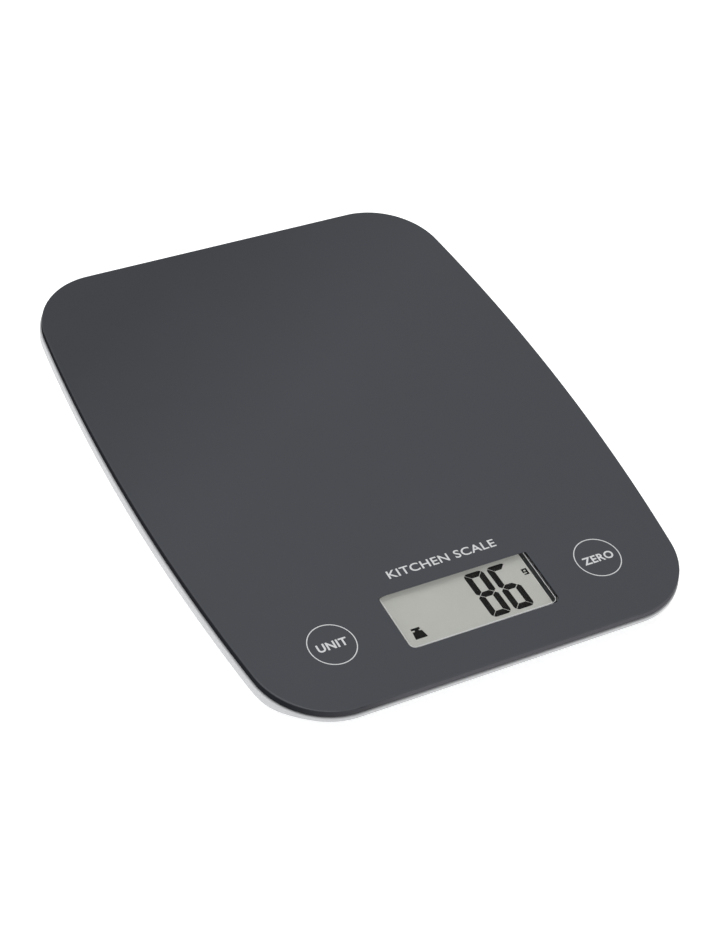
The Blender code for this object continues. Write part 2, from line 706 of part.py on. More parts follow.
def make_contacts(shop):
    """The leaf that presses on the cell's face and the strip beside its rim."""
    leaf_top = BAY_CEILING - TOUCH_GAP
    leaf = slab(
        (-CELL_DIAMETER * 0.38, CELL_Y - CONTACT_WIDTH / 2, leaf_top - CONTACT_THICKNESS),
        (CELL_DIAMETER * 0.20, CELL_Y + CONTACT_WIDTH / 2, leaf_top),
    )
    shop.keep(leaf, "contact_negative", "nickel")
    inner = CELL_DIAMETER / 2 + CELL_RADIAL_GAP / 2
    strip = slab(
        (inner, CELL_Y - CONTACT_WIDTH * 0.7, CELL_BOTTOM),
        (inner + CONTACT_THICKNESS * 2, CELL_Y + CONTACT_WIDTH * 0.7, BAY_CEILING - TOUCH_GAP),
    )
    shop.keep(strip, "contact_positive", "nickel")


def make_door(shop):
    """The battery door: a flat cover with two hooks behind and a finger edge in front."""
    pivot = bpy.data.objects.new("battery_door_pivot", None)
    pivot.location = (0.0, DOOR_BACK, DOOR_BOTTOM)
    shop.parts.objects.link(pivot)
    length = DOOR_BACK - DOOR_FRONT
    door = block((0.0, 0.0, 0.0), (DOOR_HALF_X * 2, length, DOOR_THICKNESS), DOOR_CORNER)
    door.data.transform(Matrix.Translation((0.0, -length / 2, DOOR_THICKNESS / 2)))
    door.location = (0.0, 0.0, 0.0)
    door.parent = pivot
    for side in (-1, 1):
        hook_x = side * DOOR_HALF_X / 2
        hook = slab(
            (hook_x - HOOK_WIDTH / 2, DOOR_BACK - HOOK_REACH * 2, DOOR_TOP - HOOK_THICKNESS),
            (hook_x + HOOK_WIDTH / 2, DOOR_BACK + HOOK_REACH - TOUCH_GAP, DOOR_TOP - HOOK_THICKNESS / 20),
        )
        shop.join(door, hook)
    shop.keep(door, "battery_door", "white_abs")


def lead_route(side, end):
    """A sensor lead's places over the tray's floor, from its holder to the board's back edge."""
    floor_z = FLOOR_TOP + TOUCH_GAP + LEAD_DIAMETER / 2
    board_z = (BOARD_BOTTOM + BOARD_TOP) / 2
    middle_z = (floor_z + board_z) / 2
    board_edge = PRINT_Y + BOARD_HALF_Y + TOUCH_GAP + LEAD_DIAMETER / 2
    column = FOOT_X - HOLDER_RADIUS - LEAD_DIAMETER * 3
    board_reach = BOARD_HALF_X - PRINT_OFFSET_X
    stand_off = HOLDER_RADIUS + TOUCH_GAP + LEAD_DIAMETER / 2
    if end > 0:
        return [
            (side * (FOOT_X - stand_off), FOOT_Y, floor_z),
            (side * column, FOOT_Y - LEAD_DIAMETER * 7, floor_z),
            (side * column, 0.0, floor_z),
            (side * column, board_edge + LEAD_DIAMETER * 11, floor_z),
            (side * (board_reach - LEAD_DIAMETER * 3.4), board_edge + LEAD_DIAMETER * 4, middle_z),
            (side * (board_reach - LEAD_DIAMETER * 4.2), board_edge, board_z),
        ]
    diagonal = stand_off * math.sqrt(0.5)
    return [
        (side * (FOOT_X - diagonal), -FOOT_Y + diagonal, middle_z),
        (side * (column + LEAD_DIAMETER * 3), board_edge + LEAD_DIAMETER * 2.6, floor_z),
        (side * column, board_edge + LEAD_DIAMETER * 3.2, middle_z),
        (side * (board_reach - LEAD_DIAMETER), board_edge, board_z),
    ]


def make_lead(shop, corner, side, end):
    """One sensor lead, a smooth run through a few chosen places."""
    points = smooth_run(lead_route(side, end))
    curve = bpy.data.curves.new("lead", "CURVE")
    curve.dimensions = "3D"
    curve.bevel_depth = LEAD_DIAMETER / 2
    curve.bevel_resolution = 2
    curve.use_fill_caps = True
    spline = curve.splines.new("POLY")
    spline.points.add(len(points) - 1)
    for point, place in zip(spline.points, points):
        point.co = (*place, 1.0)
    lead = bpy.data.objects.new("lead", curve)
    bpy.context.scene.collection.objects.link(lead)
    shop.keep(lead, "sensor_lead_" + corner, "red_wire")


def smooth_run(places, per_span=5):
    """Points along a Catmull-Rom curve through the chosen places."""
    route = [Vector(p) for p in places]
    route = [route[0] * 2 - route[1]] + route + [route[-1] * 2 - route[-2]]
    points = []
    for a, b, c, d in zip(route, route[1:], route[2:], route[3:]):
        for step in range(per_span):
            t = step / per_span
            even = (b * 2) + (c - a) * t
            bend = (a * 2 - b * 5 + c * 4 - d) * t**2
            twist = (b * 3 - a - c * 3 + d) * t**3
            points.append((even + bend + twist) / 2)
    points.append(route[-2])
    return points


def main():
    """Build every piece of the scale."""
    clear_scene()
    shop = Workshop()
    make_glass(shop)
    make_tape(shop)
    make_tray(shop)
    make_display(shop)
    make_board(shop)
    make_touch_electrode(shop, "touch_electrode_unit", -1)
    make_touch_electrode(shop, "touch_electrode_zero", 1)
    make_battery(shop)
    for corner, (side, end) in CORNER_NAMES.items():
        make_foot(shop, corner, side, end)
        make_lead(shop, corner, side, end)


main()
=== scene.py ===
"""Looks of a slim glass kitchen scale: printed glass plate, display, white tray, feet and battery door.

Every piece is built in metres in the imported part's own frame: +Z up, +X to the reader's right, +Y to the
back, the origin on the table under the middle of the scale.
"""

import logging
import math
from dataclasses import dataclass
from enum import Enum

import bmesh
import bpy
import numpy as np
from mathutils import Matrix
from mathutils import Vector


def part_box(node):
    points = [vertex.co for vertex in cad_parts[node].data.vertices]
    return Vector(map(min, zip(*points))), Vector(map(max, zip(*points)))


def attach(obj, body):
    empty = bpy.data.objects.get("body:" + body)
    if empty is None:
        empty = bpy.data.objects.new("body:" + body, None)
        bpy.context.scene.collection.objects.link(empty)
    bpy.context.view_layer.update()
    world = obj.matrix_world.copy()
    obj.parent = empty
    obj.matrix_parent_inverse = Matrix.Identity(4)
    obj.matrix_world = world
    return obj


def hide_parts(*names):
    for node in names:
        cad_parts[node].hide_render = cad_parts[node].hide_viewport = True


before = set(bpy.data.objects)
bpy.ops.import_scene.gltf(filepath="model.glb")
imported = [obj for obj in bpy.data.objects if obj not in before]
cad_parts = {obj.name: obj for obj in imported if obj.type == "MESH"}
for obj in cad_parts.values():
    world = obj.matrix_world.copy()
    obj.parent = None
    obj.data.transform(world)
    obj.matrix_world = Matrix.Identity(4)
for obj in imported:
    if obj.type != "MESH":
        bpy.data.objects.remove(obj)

MM = 0.001
FOOT_X = 54.0 * MM
FOOT_Y = 77.0 * MM
CELL_Y = 24.0 * MM
DOOR_BACK = 39.0 * MM

Piece = bpy.types.Object
Tree = bpy.types.NodeTree
Socket = bpy.types.NodeSocket

log = logging.getLogger("kitchen_scale")


class Body(Enum):
    """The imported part's bodies that pieces ride on."""

    HOUSING = "housing"
    DOOR = "battery_door"


class Corner(Enum):
    """The four feet's places, as the signs of their x and y."""

    FRONT_LEFT = (-1, -1)
    FRONT_RIGHT = (1, -1)
    BACK_LEFT = (-1, 1)
    BACK_RIGHT = (1, 1)

    @property
    def label(self) -> str:
        """The corner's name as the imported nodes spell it."""
        return self.name.lower()

    @property
    def body(self) -> str:
        """The body that the foot at this corner rides on."""
        return "foot_" + self.label

    @property
    def place(self) -> tuple[float, float]:
        """The foot's axis."""
        return (self.value[0] * FOOT_X, self.value[1] * FOOT_Y)


class Glyph(Enum):
    """Digits that the display can show, as the seven-segment letters that are dark."""

    EIGHT = "abcdefg"
    SIX = "acdefg"


# ---------------------------------------------------------------------------------------------------
# Colour and material nodes


def linear(hex_colour: str) -> tuple[float, float, float, float]:
    """Turn an sRGB hex colour to linear RGBA.

    Args:
        hex_colour: Six hex digits, with or without a leading hash.

    Returns:
        Linear red, green and blue, and an alpha of 1.
    """
    digits = hex_colour.lstrip("#")
    srgb = np.array([int(digits[i : i + 2], 16) for i in (0, 2, 4)]) / 255.0
    value = np.where(srgb <= 0.04045, srgb / 12.92, ((srgb + 0.055) / 1.055) ** 2.4)
    return (float(value[0]), float(value[1]), float(value[2]), 1.0)


def add_node(
    tree: Tree,
    kind: str,
    settings: dict[str, object] | None = None,
    links: dict[str, Socket] | None = None,
) -> bpy.types.Node:
    """Add a node with its settings and links.

    Args:
        tree: The node tree.
        kind: The node's type name.
        settings: Values by name. A name that is one of the node's inputs sets that input, and any other
            name sets the node's own property.
        links: Sockets to join, by the input's name.

    Returns:
        The node.
    """
    node = tree.nodes.new(kind)
    for name, value in (settings or {}).items():
        if name in node.inputs:
            node.inputs[name].default_value = value
        else:
            setattr(node, name, value)
    for name, socket in (links or {}).items():
        tree.links.new(socket, node.inputs[name])
    return node


def per_metre(size: float) -> float:
    """A noise scale whose features are about one size across, in metres."""
    return 1.0 / size


@dataclass(frozen=True)
class Finish:
    """One real material: its colour, its gloss and the fine unevenness that its making leaves.

    The colour is mottled by one noise, the gloss by a second, and a third one lifts the surface.
    """

    name: str
    colour: str
    roughness: float
    metallic: float = 0.0
    ior: float = 1.5
    specular: float = 0.5
    coat: float = 0.0
    coat_roughness: float = 0.05
    transmission: float = 0.0
    # Emission: painted light on the display's pieces, and the lit table's own light.
    glow: float = 0.0
    mottle_colour: str = ""
    mottle_size: float = 6.0 * MM
    mottle_stretch: tuple[float, float, float] = (1.0, 1.0, 1.0)
    gloss_swing: float = 0.04
    gloss_size: float = 9.0 * MM
    grain_size: float = 0.0
    grain_depth: float = 0.0

    def build(self) -> bpy.types.Material:
        """Make the material's nodes.

        Returns:
            The material.
        """
        material = bpy.data.materials.new(self.name)
        material.use_nodes = True
        tree = material.node_tree
        tree.nodes.clear()
        where = add_node(tree, "ShaderNodeTexCoord").outputs["Object"]
        links = {
            "Base Color": self.mottled_colour(tree, where), "Roughness": self.uneven_gloss(tree, where),
        }
        if self.grain_depth > 0.0:
            links["Normal"] = self.grain(tree, where)
        settings = {
            "Metallic": self.metallic, "IOR": self.ior, "Specular IOR Level": self.specular,
            "Coat Weight": self.coat, "Coat Roughness": self.coat_roughness,
            "Transmission Weight": self.transmission, "Emission Color": linear(self.colour),
            "Emission Strength": self.glow,
        }
        shader = add_node(tree, "ShaderNodeBsdfPrincipled", settings, links)
        add_node(tree, "ShaderNodeOutputMaterial", links={"Surface": shader.outputs[0]})
        material.diffuse_color = linear(self.colour)
        return material

    def mottled_colour(self, tree: Tree, where: Socket) -> Socket:
        """The base colour, drifting towards a second one in soft patches."""
        spread = add_node(tree, "ShaderNodeMapping", {"Scale": self.mottle_stretch}, {"Vector": where})
        noise = add_node(
            tree, "ShaderNodeTexNoise",
            {"Scale": per_metre(self.mottle_size), "Detail": 4.0, "Roughness": 0.6},
            {"Vector": spread.outputs[0]},
        )
        mix = add_node(tree, "ShaderNodeMix", {"data_type": "RGBA"}, {"Factor": noise.outputs["Fac"]})
        mix.inputs[6].default_value = linear(self.colour)
        mix.inputs[7].default_value = linear(self.mottle_colour or self.colour)
        return mix.outputs[2]

    def uneven_gloss(self, tree: Tree, where: Socket) -> Socket:
        """The roughness, swinging a little either way over the surface."""
        noise = add_node(
            tree, "ShaderNodeTexNoise", {"Scale": per_metre(self.gloss_size), "Detail": 2.0},
            {"Vector": where},
        )
        reach = add_node(
            tree,
            "ShaderNodeMapRange",
            {
                "To Min": max(0.0, self.roughness - self.gloss_swing),
                "To Max": self.roughness + self.gloss_swing,
            },
            {"Value": noise.outputs["Fac"]},
        )
        return reach.outputs[0]

    def grain(self, tree: Tree, where: Socket) -> Socket:
        """The surface normal, lifted by a fine noise."""
        noise = add_node(
            tree, "ShaderNodeTexNoise", {"Scale": per_metre(self.grain_size), "Detail": 3.0},
            {"Vector": where},
        )
        bump = add_node(
            tree, "ShaderNodeBump", {"Distance": self.grain_depth, "Strength": 1.0},
            {"Height": noise.outputs["Fac"]},
        )
        return bump.outputs[0]


@dataclass(frozen=True)
class EdgedFinish(Finish):
    """A finish whose colour turns to another one below a height, as a plate's edge does below its face.

    The edge's colours are painted shade: darkest on the left, drifting to a paler painted colour on the
    right.
    """

    # The edge's colours are painted shade: dark on the left, paler on the right.
    edge_colour: str = "000000"
    edge_right: str = "000000"
    # Painted shade on the face: its colour dims to this share towards the back left.
    fall: float = 0.78
    fall_along: tuple[float, float, float] = (0.55, -0.83, 0.0)
    fall_from: float = -100.0 * MM
    fall_to: float = -25.0 * MM
    edge_from: float = 0.0
    edge_to: float = 1.0
    drift_from: float = -78.0 * MM
    drift_to: float = -38.0 * MM

    def mottled_colour(self, tree: Tree, where: Socket) -> Socket:
        """The face's mottled colour, mixed to the edge's colour by the height up the piece.

        The face is painted a little dimmer towards the back left, as painted shade: its colour is scaled by
        a share that rises from the painted dim to 1 along the plate's diagonal.
        """
        plain = super().mottled_colour(tree, where)
        # Painted shade: the face's colour is scaled down towards the back left.
        along = add_node(tree, "ShaderNodeVectorMath", {"operation": "DOT_PRODUCT"}, {"Vector": where})
        along.inputs[1].default_value = self.fall_along
        share = add_node(
            tree, "ShaderNodeMapRange",
            {"From Min": self.fall_from, "From Max": self.fall_to, "To Min": self.fall, "To Max": 1.0},
            {"Value": along.outputs["Value"]},
        )
        scaled = add_node(
            tree, "ShaderNodeVectorMath", {"operation": "SCALE"},
            {"Vector": plain, "Scale": share.outputs[0]},
        )
        face = scaled.outputs["Vector"]
        parts = add_node(tree, "ShaderNodeSeparateXYZ", links={"Vector": where})
        height = add_node(
            tree, "ShaderNodeMapRange", {"From Min": self.edge_from, "From Max": self.edge_to},
            {"Value": parts.outputs["Z"]},
        )
        # Painted shade: the edge's colour drifts from dark on the left to paler on the right.
        edge_shade = add_node(
            tree, "ShaderNodeMapRange", {"From Min": self.drift_from, "From Max": self.drift_to},
            {"Value": parts.outputs["X"]},
        )
        edge = add_node(tree, "ShaderNodeMix", {"data_type": "RGBA"}, {"Factor": edge_shade.outputs[0]})
        edge.inputs[6].default_value = linear(self.edge_colour)
        edge.inputs[7].default_value = linear(self.edge_right)
        mix = add_node(tree, "ShaderNodeMix", {"data_type": "RGBA"}, {"Factor": height.outputs[0]})
        tree.links.new(edge.outputs[2], mix.inputs[6])
        tree.links.new(face, mix.inputs[7])
        return mix.outputs[2]


# Float glass enamelled dark grey on its back: the face shows the enamel under an even gloss, dimmed towards
# the back left by painted shade. The polished arris below it is painted nearly black, standing in for the
# enamel's inside seen through the glass, and painted paler towards the right as painted shade.
PRINTED_GLASS = EdgedFinish(
    "back_enamelled_float_glass", "4A4C50", 0.10, ior=1.52, specular=0.15, mottle_colour="4C4E53",
    mottle_size=30.0 * MM, gloss_swing=0.01, gloss_size=25.0 * MM, edge_colour="1E1F22",
    edge_right="424347", edge_from=15.6 * MM, edge_to=15.94 * MM,
)
# The ground edge between the plate's two arrises: dull, painted dark as painted shade, darkest on the left
# and painted paler to the right. Its colour turns far above the piece, so that all of it has the edge's
# colours.
GROUND_EDGE = EdgedFinish(
    "ground_glass_edge", "26262A", 0.8, ior=1.1, specular=0.0, edge_colour="232427", edge_right="58585C",
    edge_from=0.5, edge_to=1.0,
)
# The same glass where it is left clear over the display.
CLEAR_GLASS = Finish(
    "clear_float_glass", "FBFBFA", 0.0, ior=1.52, specular=0.2, transmission=1.0, gloss_swing=0.0,
)
# White ceramic enamel: clean lines that stay matt and even.
WHITE_ENAMEL = Finish(
    "screen_printed_white_enamel", "D6D7D8", 0.5, specular=0.2, mottle_colour="CDCED0",
    mottle_size=1.2 * MM,
)
# ABS moulded in a fine satin tool: soft broad highlights. The tool's grain is about 0.1 mm, which is too
# fine to show, so it is drawn at 0.5 mm.
WHITE_ABS = Finish(
    "moulded_white_abs", "BCBDBF", 0.34, mottle_colour="B9BABC", mottle_size=18.0 * MM,
    grain_size=0.5 * MM, grain_depth=0.004 * MM,
)
# ABS with carbon black in the same kind of tool: a dark satin with small soft highlights.
BLACK_ABS = Finish(
    "moulded_black_abs", "1B1C1E", 0.30, mottle_colour="222326", grain_size=0.6 * MM,
    grain_depth=0.004 * MM,
)
# ABS with a little carbon black, in a polished tool: the dark channel round the display, grey where light
# falls in.
SURROUND_ABS = Finish("moulded_charcoal_abs", "47484B", 0.35, mottle_colour="4B4C4F", mottle_size=5.0 * MM)
# Liquid-crystal cell under a satin polariser film: a warm grey field with a soft broad sheen, and a glow
# that is painted light lifting the shade in the window's recess.
LCD_FIELD = Finish(
    "satin_polariser_film", "B6B7B2", 0.5, specular=0.2, glow=0.47, mottle_colour="B9BAB5",
    mottle_size=9.0 * MM,
)
# The same cell where its crystal is switched dark: flat, with no sheen of its own.
LCD_DARK = Finish(
    "switched_liquid_crystal", "0D0E0B", 0.6, specular=0.05, mottle_colour="11120F", mottle_size=1.5 * MM,
)
# Painted highlight: a pale, glowing band that stands in for the bright line along the surround's inner lip.
LIP_PAINTED_HIGHLIGHT = Finish(
    "lip_painted_highlight", "D9DADC", 0.3, metallic=0.2, glow=0.4, mottle_colour="C6C8CB",
    mottle_size=3.0 * MM,
)
# Cut glass edge of the liquid-crystal cell with its pale perimeter seal, and a glow that is a painted
# highlight along the cell's edge.
LCD_EDGE = Finish(
    "cell_perimeter_seal", "E4E5E2", 0.25, glow=0.3, mottle_colour="DCDDDA", mottle_size=2.0 * MM
)
# Silicone rubber pressed in a smooth mould: dull, with dust-fine unevenness.
GREY_RUBBER = Finish(
    "pressed_grey_silicone", "4B4D4F", 0.72, mottle_colour="545658", mottle_size=2.0 * MM,
    grain_size=0.5 * MM, grain_depth=0.01 * MM,
)
# Spring steel stamped from rolled strip: a brushed sheen along the strip.
STAMPED_STEEL = Finish(
    "stamped_spring_steel", "C2C3C2", 0.30, metallic=1.0, mottle_colour="ACADAC", mottle_size=0.9 * MM,
    mottle_stretch=(1.0, 0.08, 1.0), gloss_swing=0.08, gloss_size=2.0 * MM,
)
# Steel strip with bright nickel on it: a warm, fairly sharp sheen.
NICKEL = Finish(
    "nickel_plated_strip", "CBC6BC", 0.24, metallic=1.0, mottle_colour="B9B4AA", mottle_size=1.2 * MM,
    mottle_stretch=(0.1, 1.0, 1.0),
)
# A drawn steel can with nickel on it: a cool bright sheen with faint draw lines.
CELL_CAN = Finish(
    "nickel_plated_cell_can", "CDCDCA", 0.22, metallic=1.0, mottle_colour="BDBDBA", mottle_size=1.5 * MM,
    mottle_stretch=(1.0, 0.15, 1.0), gloss_swing=0.06,
)
# Bright zinc on steel screws: bluish and a little cloudy.
ZINC = Finish(
    "bright_zinc_plate", "BFC3C6", 0.28, metallic=1.0, mottle_colour="ADB2B8", mottle_size=0.8 * MM,
)
# Glass-fibre board under solder resist: glossy green over a faint woven ground.
SOLDER_RESIST = Finish(
    "green_solder_resist", "1F5A36", 0.28, mottle_colour="17482B", mottle_size=0.5 * MM, coat=0.3,
    grain_size=0.4 * MM, grain_depth=0.01 * MM,
)
# Epoxy dropped on the chip and left to set: wet-looking black with slow ripples.
EPOXY = Finish(
    "black_glob_epoxy", "17171A", 0.22, mottle_colour="202024", grain_size=1.2 * MM,
    grain_depth=0.03 * MM,
)
# Conductive rubber in thin layers between insulating ones: fine pink-grey stripes 0.2 mm apart.
STRIPED_RUBBER = Finish(
    "layered_conductive_rubber", "B39A9E", 0.6, mottle_colour="3B3236", mottle_size=0.25 * MM,
    mottle_stretch=(1.0, 0.02, 0.02),
)
# Copper foil etched on film: a dull pink sheen.
COPPER = Finish(
    "etched_copper_film", "C98B66", 0.34, metallic=1.0, mottle_colour="B5744F", mottle_size=3.0 * MM,
)
# Closed-cell foam with glue on both faces: matt and faintly pitted.
FOAM_TAPE = Finish(
    "closed_cell_foam_tape", "C9CAC4", 0.8, mottle_colour="B7B8B2", mottle_size=0.4 * MM,
    grain_size=0.3 * MM, grain_depth=0.02 * MM,
)
# Soft PVC drawn over wire: an even red with a low gloss.
WIRE_RED = Finish("red_pvc_insulation", "A3191C", 0.42, mottle_colour="8F1417", mottle_size=2.0 * MM)

_built: dict[str, bpy.types.Material] = {}


def material_of(finish: Finish) -> bpy.types.Material:
    """The finish's material, built the first time that it is asked for."""
    if finish.name not in _built:
        _built[finish.name] = finish.build()
    return _built[finish.name]


def dress(piece: Piece, finish: Finish, slot: str, *replaced: str, body: str = Body.HOUSING.value) -> Piece:
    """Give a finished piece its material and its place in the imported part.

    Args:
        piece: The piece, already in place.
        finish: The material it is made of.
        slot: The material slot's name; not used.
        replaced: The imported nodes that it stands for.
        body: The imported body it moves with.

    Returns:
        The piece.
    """
    piece.data.materials.clear()
    piece.data.materials.append(material_of(finish))
    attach(piece, body)
    if replaced:
        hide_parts(*replaced)
    log.info("%s: %s, %d faces", piece.name, finish.name, len(piece.data.polygons))
    return piece


def redress(node: str, finish: Finish) -> None:
    """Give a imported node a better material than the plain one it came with."""
    material = material_of(finish)
    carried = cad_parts[node]
    if not carried.data.materials:
        carried.data.materials.append(material)
    for index in range(len(carried.data.materials)):
        carried.data.materials[index] = material
    log.info("%s: %s", node, finish.name)


# ---------------------------------------------------------------------------------------------------
# Curves in the plane


def circle(radius: float, steps: int = 64) -> np.ndarray:
    """A round loop: (radius cos t, radius sin t) for t over a full turn, anticlockwise."""
    turn = np.linspace(0.0, 2.0 * math.pi, steps, endpoint=False)
    return radius * np.c_[np.cos(turn), np.sin(turn)]


def rounded_rectangle(
    half_x: float, half_y: float, radius: float | np.ndarray, steps: int = 6
) -> np.ndarray:
    """An anticlockwise rectangle with round corners.

    Each corner is a quarter circle about a centre one radius in from both sides, and the four quarters
    are joined by straight sides.

    Args:
        half_x: Half the width.
        half_y: Half the height.
        radius: The corners' radius, or four of them from the back right corner anticlockwise.
        steps: Spans in each corner.

    Returns:
        The loop's points.
    """
    turn = np.linspace(0.0, math.pi / 2.0, steps + 1)
    starts = np.array([0.0, 0.5, 1.0, 1.5]) * math.pi
    signs = np.array([[1, 1], [-1, 1], [-1, -1], [1, -1]])
    angles = starts[:, None] + turn[None, :]
    radii = np.broadcast_to(np.asarray(radius, float), (4,))[:, None]
    centres = signs * (np.array([[half_x, half_y]]) - radii)
    arcs = radii[:, :, None] * np.stack([np.cos(angles), np.sin(angles)], axis=-1)
    return (centres[:, None, :] + arcs).reshape(-1, 2)


def eased(points: list[tuple[float, float]], reach: float, steps: int = 4) -> np.ndarray:
    """A profile with its inner corners eased.

    Each corner P between its neighbours A and B is replaced by the quadratic curve
    (1-t)^2 P_a + 2t(1-t) P + t^2 P_b, whose ends P_a and P_b lie a reach along the two sides.

    Args:
        points: The profile's corners.
        reach: How far from a corner the curve starts, at most 0.45 of each side.
        steps: Spans in each curve.

    Returns:
        The eased profile's points.
    """
    corners = np.array(points, float)
    before, at, after = corners[:-2], corners[1:-1], corners[2:]
    back = before - at
    ahead = after - at
    long_back = np.linalg.norm(back, axis=1, keepdims=True)
    long_ahead = np.linalg.norm(ahead, axis=1, keepdims=True)
    cut = np.minimum(reach, 0.45 * np.minimum(long_back, long_ahead))
    start = at + back / long_back * cut
    end = at + ahead / long_ahead * cut
    t = np.linspace(0.0, 1.0, steps + 1)[None, :, None]
    curve = (1 - t) ** 2 * start[:, None] + 2 * t * (1 - t) * at[:, None] + t**2 * end[:, None]
    return np.vstack([corners[:1], curve.reshape(-1, 2), corners[-1:]])


# ---------------------------------------------------------------------------------------------------
# Surfaces from grids


def link_mesh(name: str, points: np.ndarray, faces: list, smooth: bool = True) -> Piece:
    """Put worked-out points and faces into a new object at the origin.

    Args:
        name: The piece's name.
        points: The vertices, N by 3.
        faces: Tuples of vertex numbers.
        smooth: Whether curved faces share their shading, up to edges of 35 degrees.

    Returns:
        The object.
    """
    mesh = bpy.data.meshes.new(name)
    mesh.from_pydata(np.asarray(points, float), [], faces)
    mesh.update()
    thing = bpy.data.objects.new(name, mesh)
    bpy.context.scene.collection.objects.link(thing)
    if smooth:
        mesh.shade_smooth()
        mesh.set_sharp_from_angle(angle=math.radians(35))
    return thing


def grid_faces(rows: int, columns: int, wrap_rows: bool = False) -> np.ndarray:
    """Four-cornered faces of a grid whose columns wrap round, and whose rows wrap too if asked."""
    row = np.arange(rows if wrap_rows else rows - 1)[:, None]
    column = np.arange(columns)[None, :]
    above = (row + 1) % rows
    beside = (column + 1) % columns
    corners = [
        row * columns + column, row * columns + beside, above * columns + beside,
        above * columns + column,
    ]
    return np.stack(np.broadcast_arrays(*corners), axis=-1).reshape(-1, 4)


def stacked(loops: np.ndarray, heights: np.ndarray) -> np.ndarray:
    """The points of K loops of N points, lifted to K heights, or to K by N heights."""
    level = np.asarray(heights, float).reshape(len(loops), -1, 1)
    lift = np.broadcast_to(level, (*loops.shape[:2], 1))
    return np.concatenate([loops, lift], axis=2).reshape(-1, 3)


def loft(name: str, loops: np.ndarray, heights: np.ndarray, smooth: bool = True) -> Piece:
    """A closed solid through stacked anticlockwise loops.

    The side is the grid P(k, i) = (loop_k(i), height_k), and the first and last loops are filled flat.

    Args:
        name: The piece's name.
        loops: K loops of N points, K by N by 2.
        heights: The K heights, or K by N where they vary along a loop.
        smooth: Whether its curved faces share their shading.

    Returns:
        The solid.
    """
    count = loops.shape[1]
    sides = grid_faces(len(loops), count).tolist()
    bottom = list(range(count))[::-1]
    top = list(range((len(loops) - 1) * count, len(loops) * count))
    return link_mesh(name, stacked(loops, heights), [*sides, bottom, top], smooth)


def hoop(name: str, loops: np.ndarray, heights: np.ndarray, smooth: bool = True) -> Piece:
    """A closed ring of material: a closed section carried along a loop.

    It is the grid P(k, i) = (loop_k(i), height_k), which wraps round both ways.

    Args:
        name: The piece's name.
        loops: K loops of N points, K by N by 2, one for each point of the section.
        heights: The K heights.
        smooth: Whether its curved faces share their shading.

    Returns:
        The solid.
    """
    faces = grid_faces(len(loops), loops.shape[1], wrap_rows=True).tolist()
    return link_mesh(name, stacked(loops, heights), faces, smooth)


def turned(name: str, place: tuple[float, float], profile: np.ndarray, steps: int = 64) -> Piece:
    """A solid of revolution: each profile point (r, z) is carried once round an upright axis.

    The profile runs up the outer side, and its ends lie a hair from the axis, where they are filled flat.

    Args:
        name: The piece's name.
        place: The axis's x and y.
        profile: Points (r, z).
        steps: Spans round the axis.

    Returns:
        The solid.
    """
    ring = circle(1.0, steps)
    radii = np.maximum(np.asarray(profile, float)[:, 0], 0.05 * MM)
    loops = radii[:, None, None] * ring[None] + np.array(place)
    return loft(name, loops, np.asarray(profile, float)[:, 1])


def band(name: str, inner: np.ndarray, outer: np.ndarray, low: float, high: float) -> Piece:
    """A thin flat band between two loops of equal length, closed all round.

    Its section is a rectangle with corners inner-high, inner-low, outer-low and outer-high.
    """
    loops = np.stack([inner, inner, outer, outer])
    return hoop(name, loops, np.array([high, low, low, high]), smooth=False)


def prisms(name: str, outlines: list[np.ndarray], low: float, high: float) -> Piece:
    """Thin upright prisms on anticlockwise outlines, as one piece."""
    points: list[np.ndarray] = []
    faces: list[list[int]] = []
    start = 0
    for outline in outlines:
        count = len(outline)
        points.append(np.c_[outline, np.full(count, low)])
        points.append(np.c_[outline, np.full(count, high)])
        faces.extend((grid_faces(2, count) + start).tolist())
        faces.append(list(range(start, start + count))[::-1])
        faces.append(list(range(start + count, start + 2 * count)))
        start += 2 * count
    return link_mesh(name, np.vstack(points), faces, smooth=False)


def carve(target: Piece, tools: list[Piece], operation: str) -> None:
    """Cut tools out of a solid, or join them on, and keep only the finished mesh.

    Args:
        target: The solid that is changed.
        tools: The solids that cut or join it, which are removed.
        operation: DIFFERENCE or UNION.
    """
    for tool in tools:
        change = target.modifiers.new("carve", "BOOLEAN")
        change.operation = operation
        change.solver = "EXACT"
        change.object = tool
    graph = bpy.context.evaluated_depsgraph_get()
    mesh = bpy.data.meshes.new_from_object(target.evaluated_get(graph))
    target.modifiers.clear()
    old = target.data
    target.data = mesh
    bpy.data.meshes.remove(old)
    mesh.name = target.name
    mesh.shade_smooth()
    mesh.set_sharp_from_angle(angle=math.radians(32))
    for tool in tools:
        data = tool.data
        bpy.data.objects.remove(tool)
        bpy.data.meshes.remove(data)


def column(place: tuple[float, float], radius: float, low: float, high: float, steps: int = 48) -> Piece:
    """An upright round bar, used to cut or join."""
    loop = circle(radius, steps) + np.array(place)
    return loft("bar", np.stack([loop, loop]), np.array([low, high]))


def slab(low: tuple[float, float, float], high: tuple[float, float, float], radius: float = 0.0) -> Piece:
    """A block between two corners with round upright edges, used to cut or join."""
    half = (np.array(high) - np.array(low)) / 2
    centre = (np.array(high) + np.array(low)) / 2
    loop = rounded_rectangle(half[0], half[1], max(radius, 0.02 * MM), 6) + centre[:2]
    return loft("block", np.stack([loop, loop]), np.array([low[2], high[2]]))


@dataclass(frozen=True)
class Legend:
    """A printed word: the piece's name, what it says, its middle, its size and its outline's swelling."""

    name: str
    words: str
    centre: tuple[float, float]
    size: tuple[float, float]
    weight: float = 0.026


def close_seams(mesh: bpy.types.Mesh) -> None:
    """Join the vertices that share a place, and turn every face outwards."""
    work = bmesh.new()
    work.from_mesh(mesh)
    bmesh.ops.remove_doubles(work, verts=work.verts, dist=0.0005 * MM)
    bmesh.ops.recalc_face_normals(work, faces=work.faces)
    work.to_mesh(mesh)
    work.free()
    mesh.update()


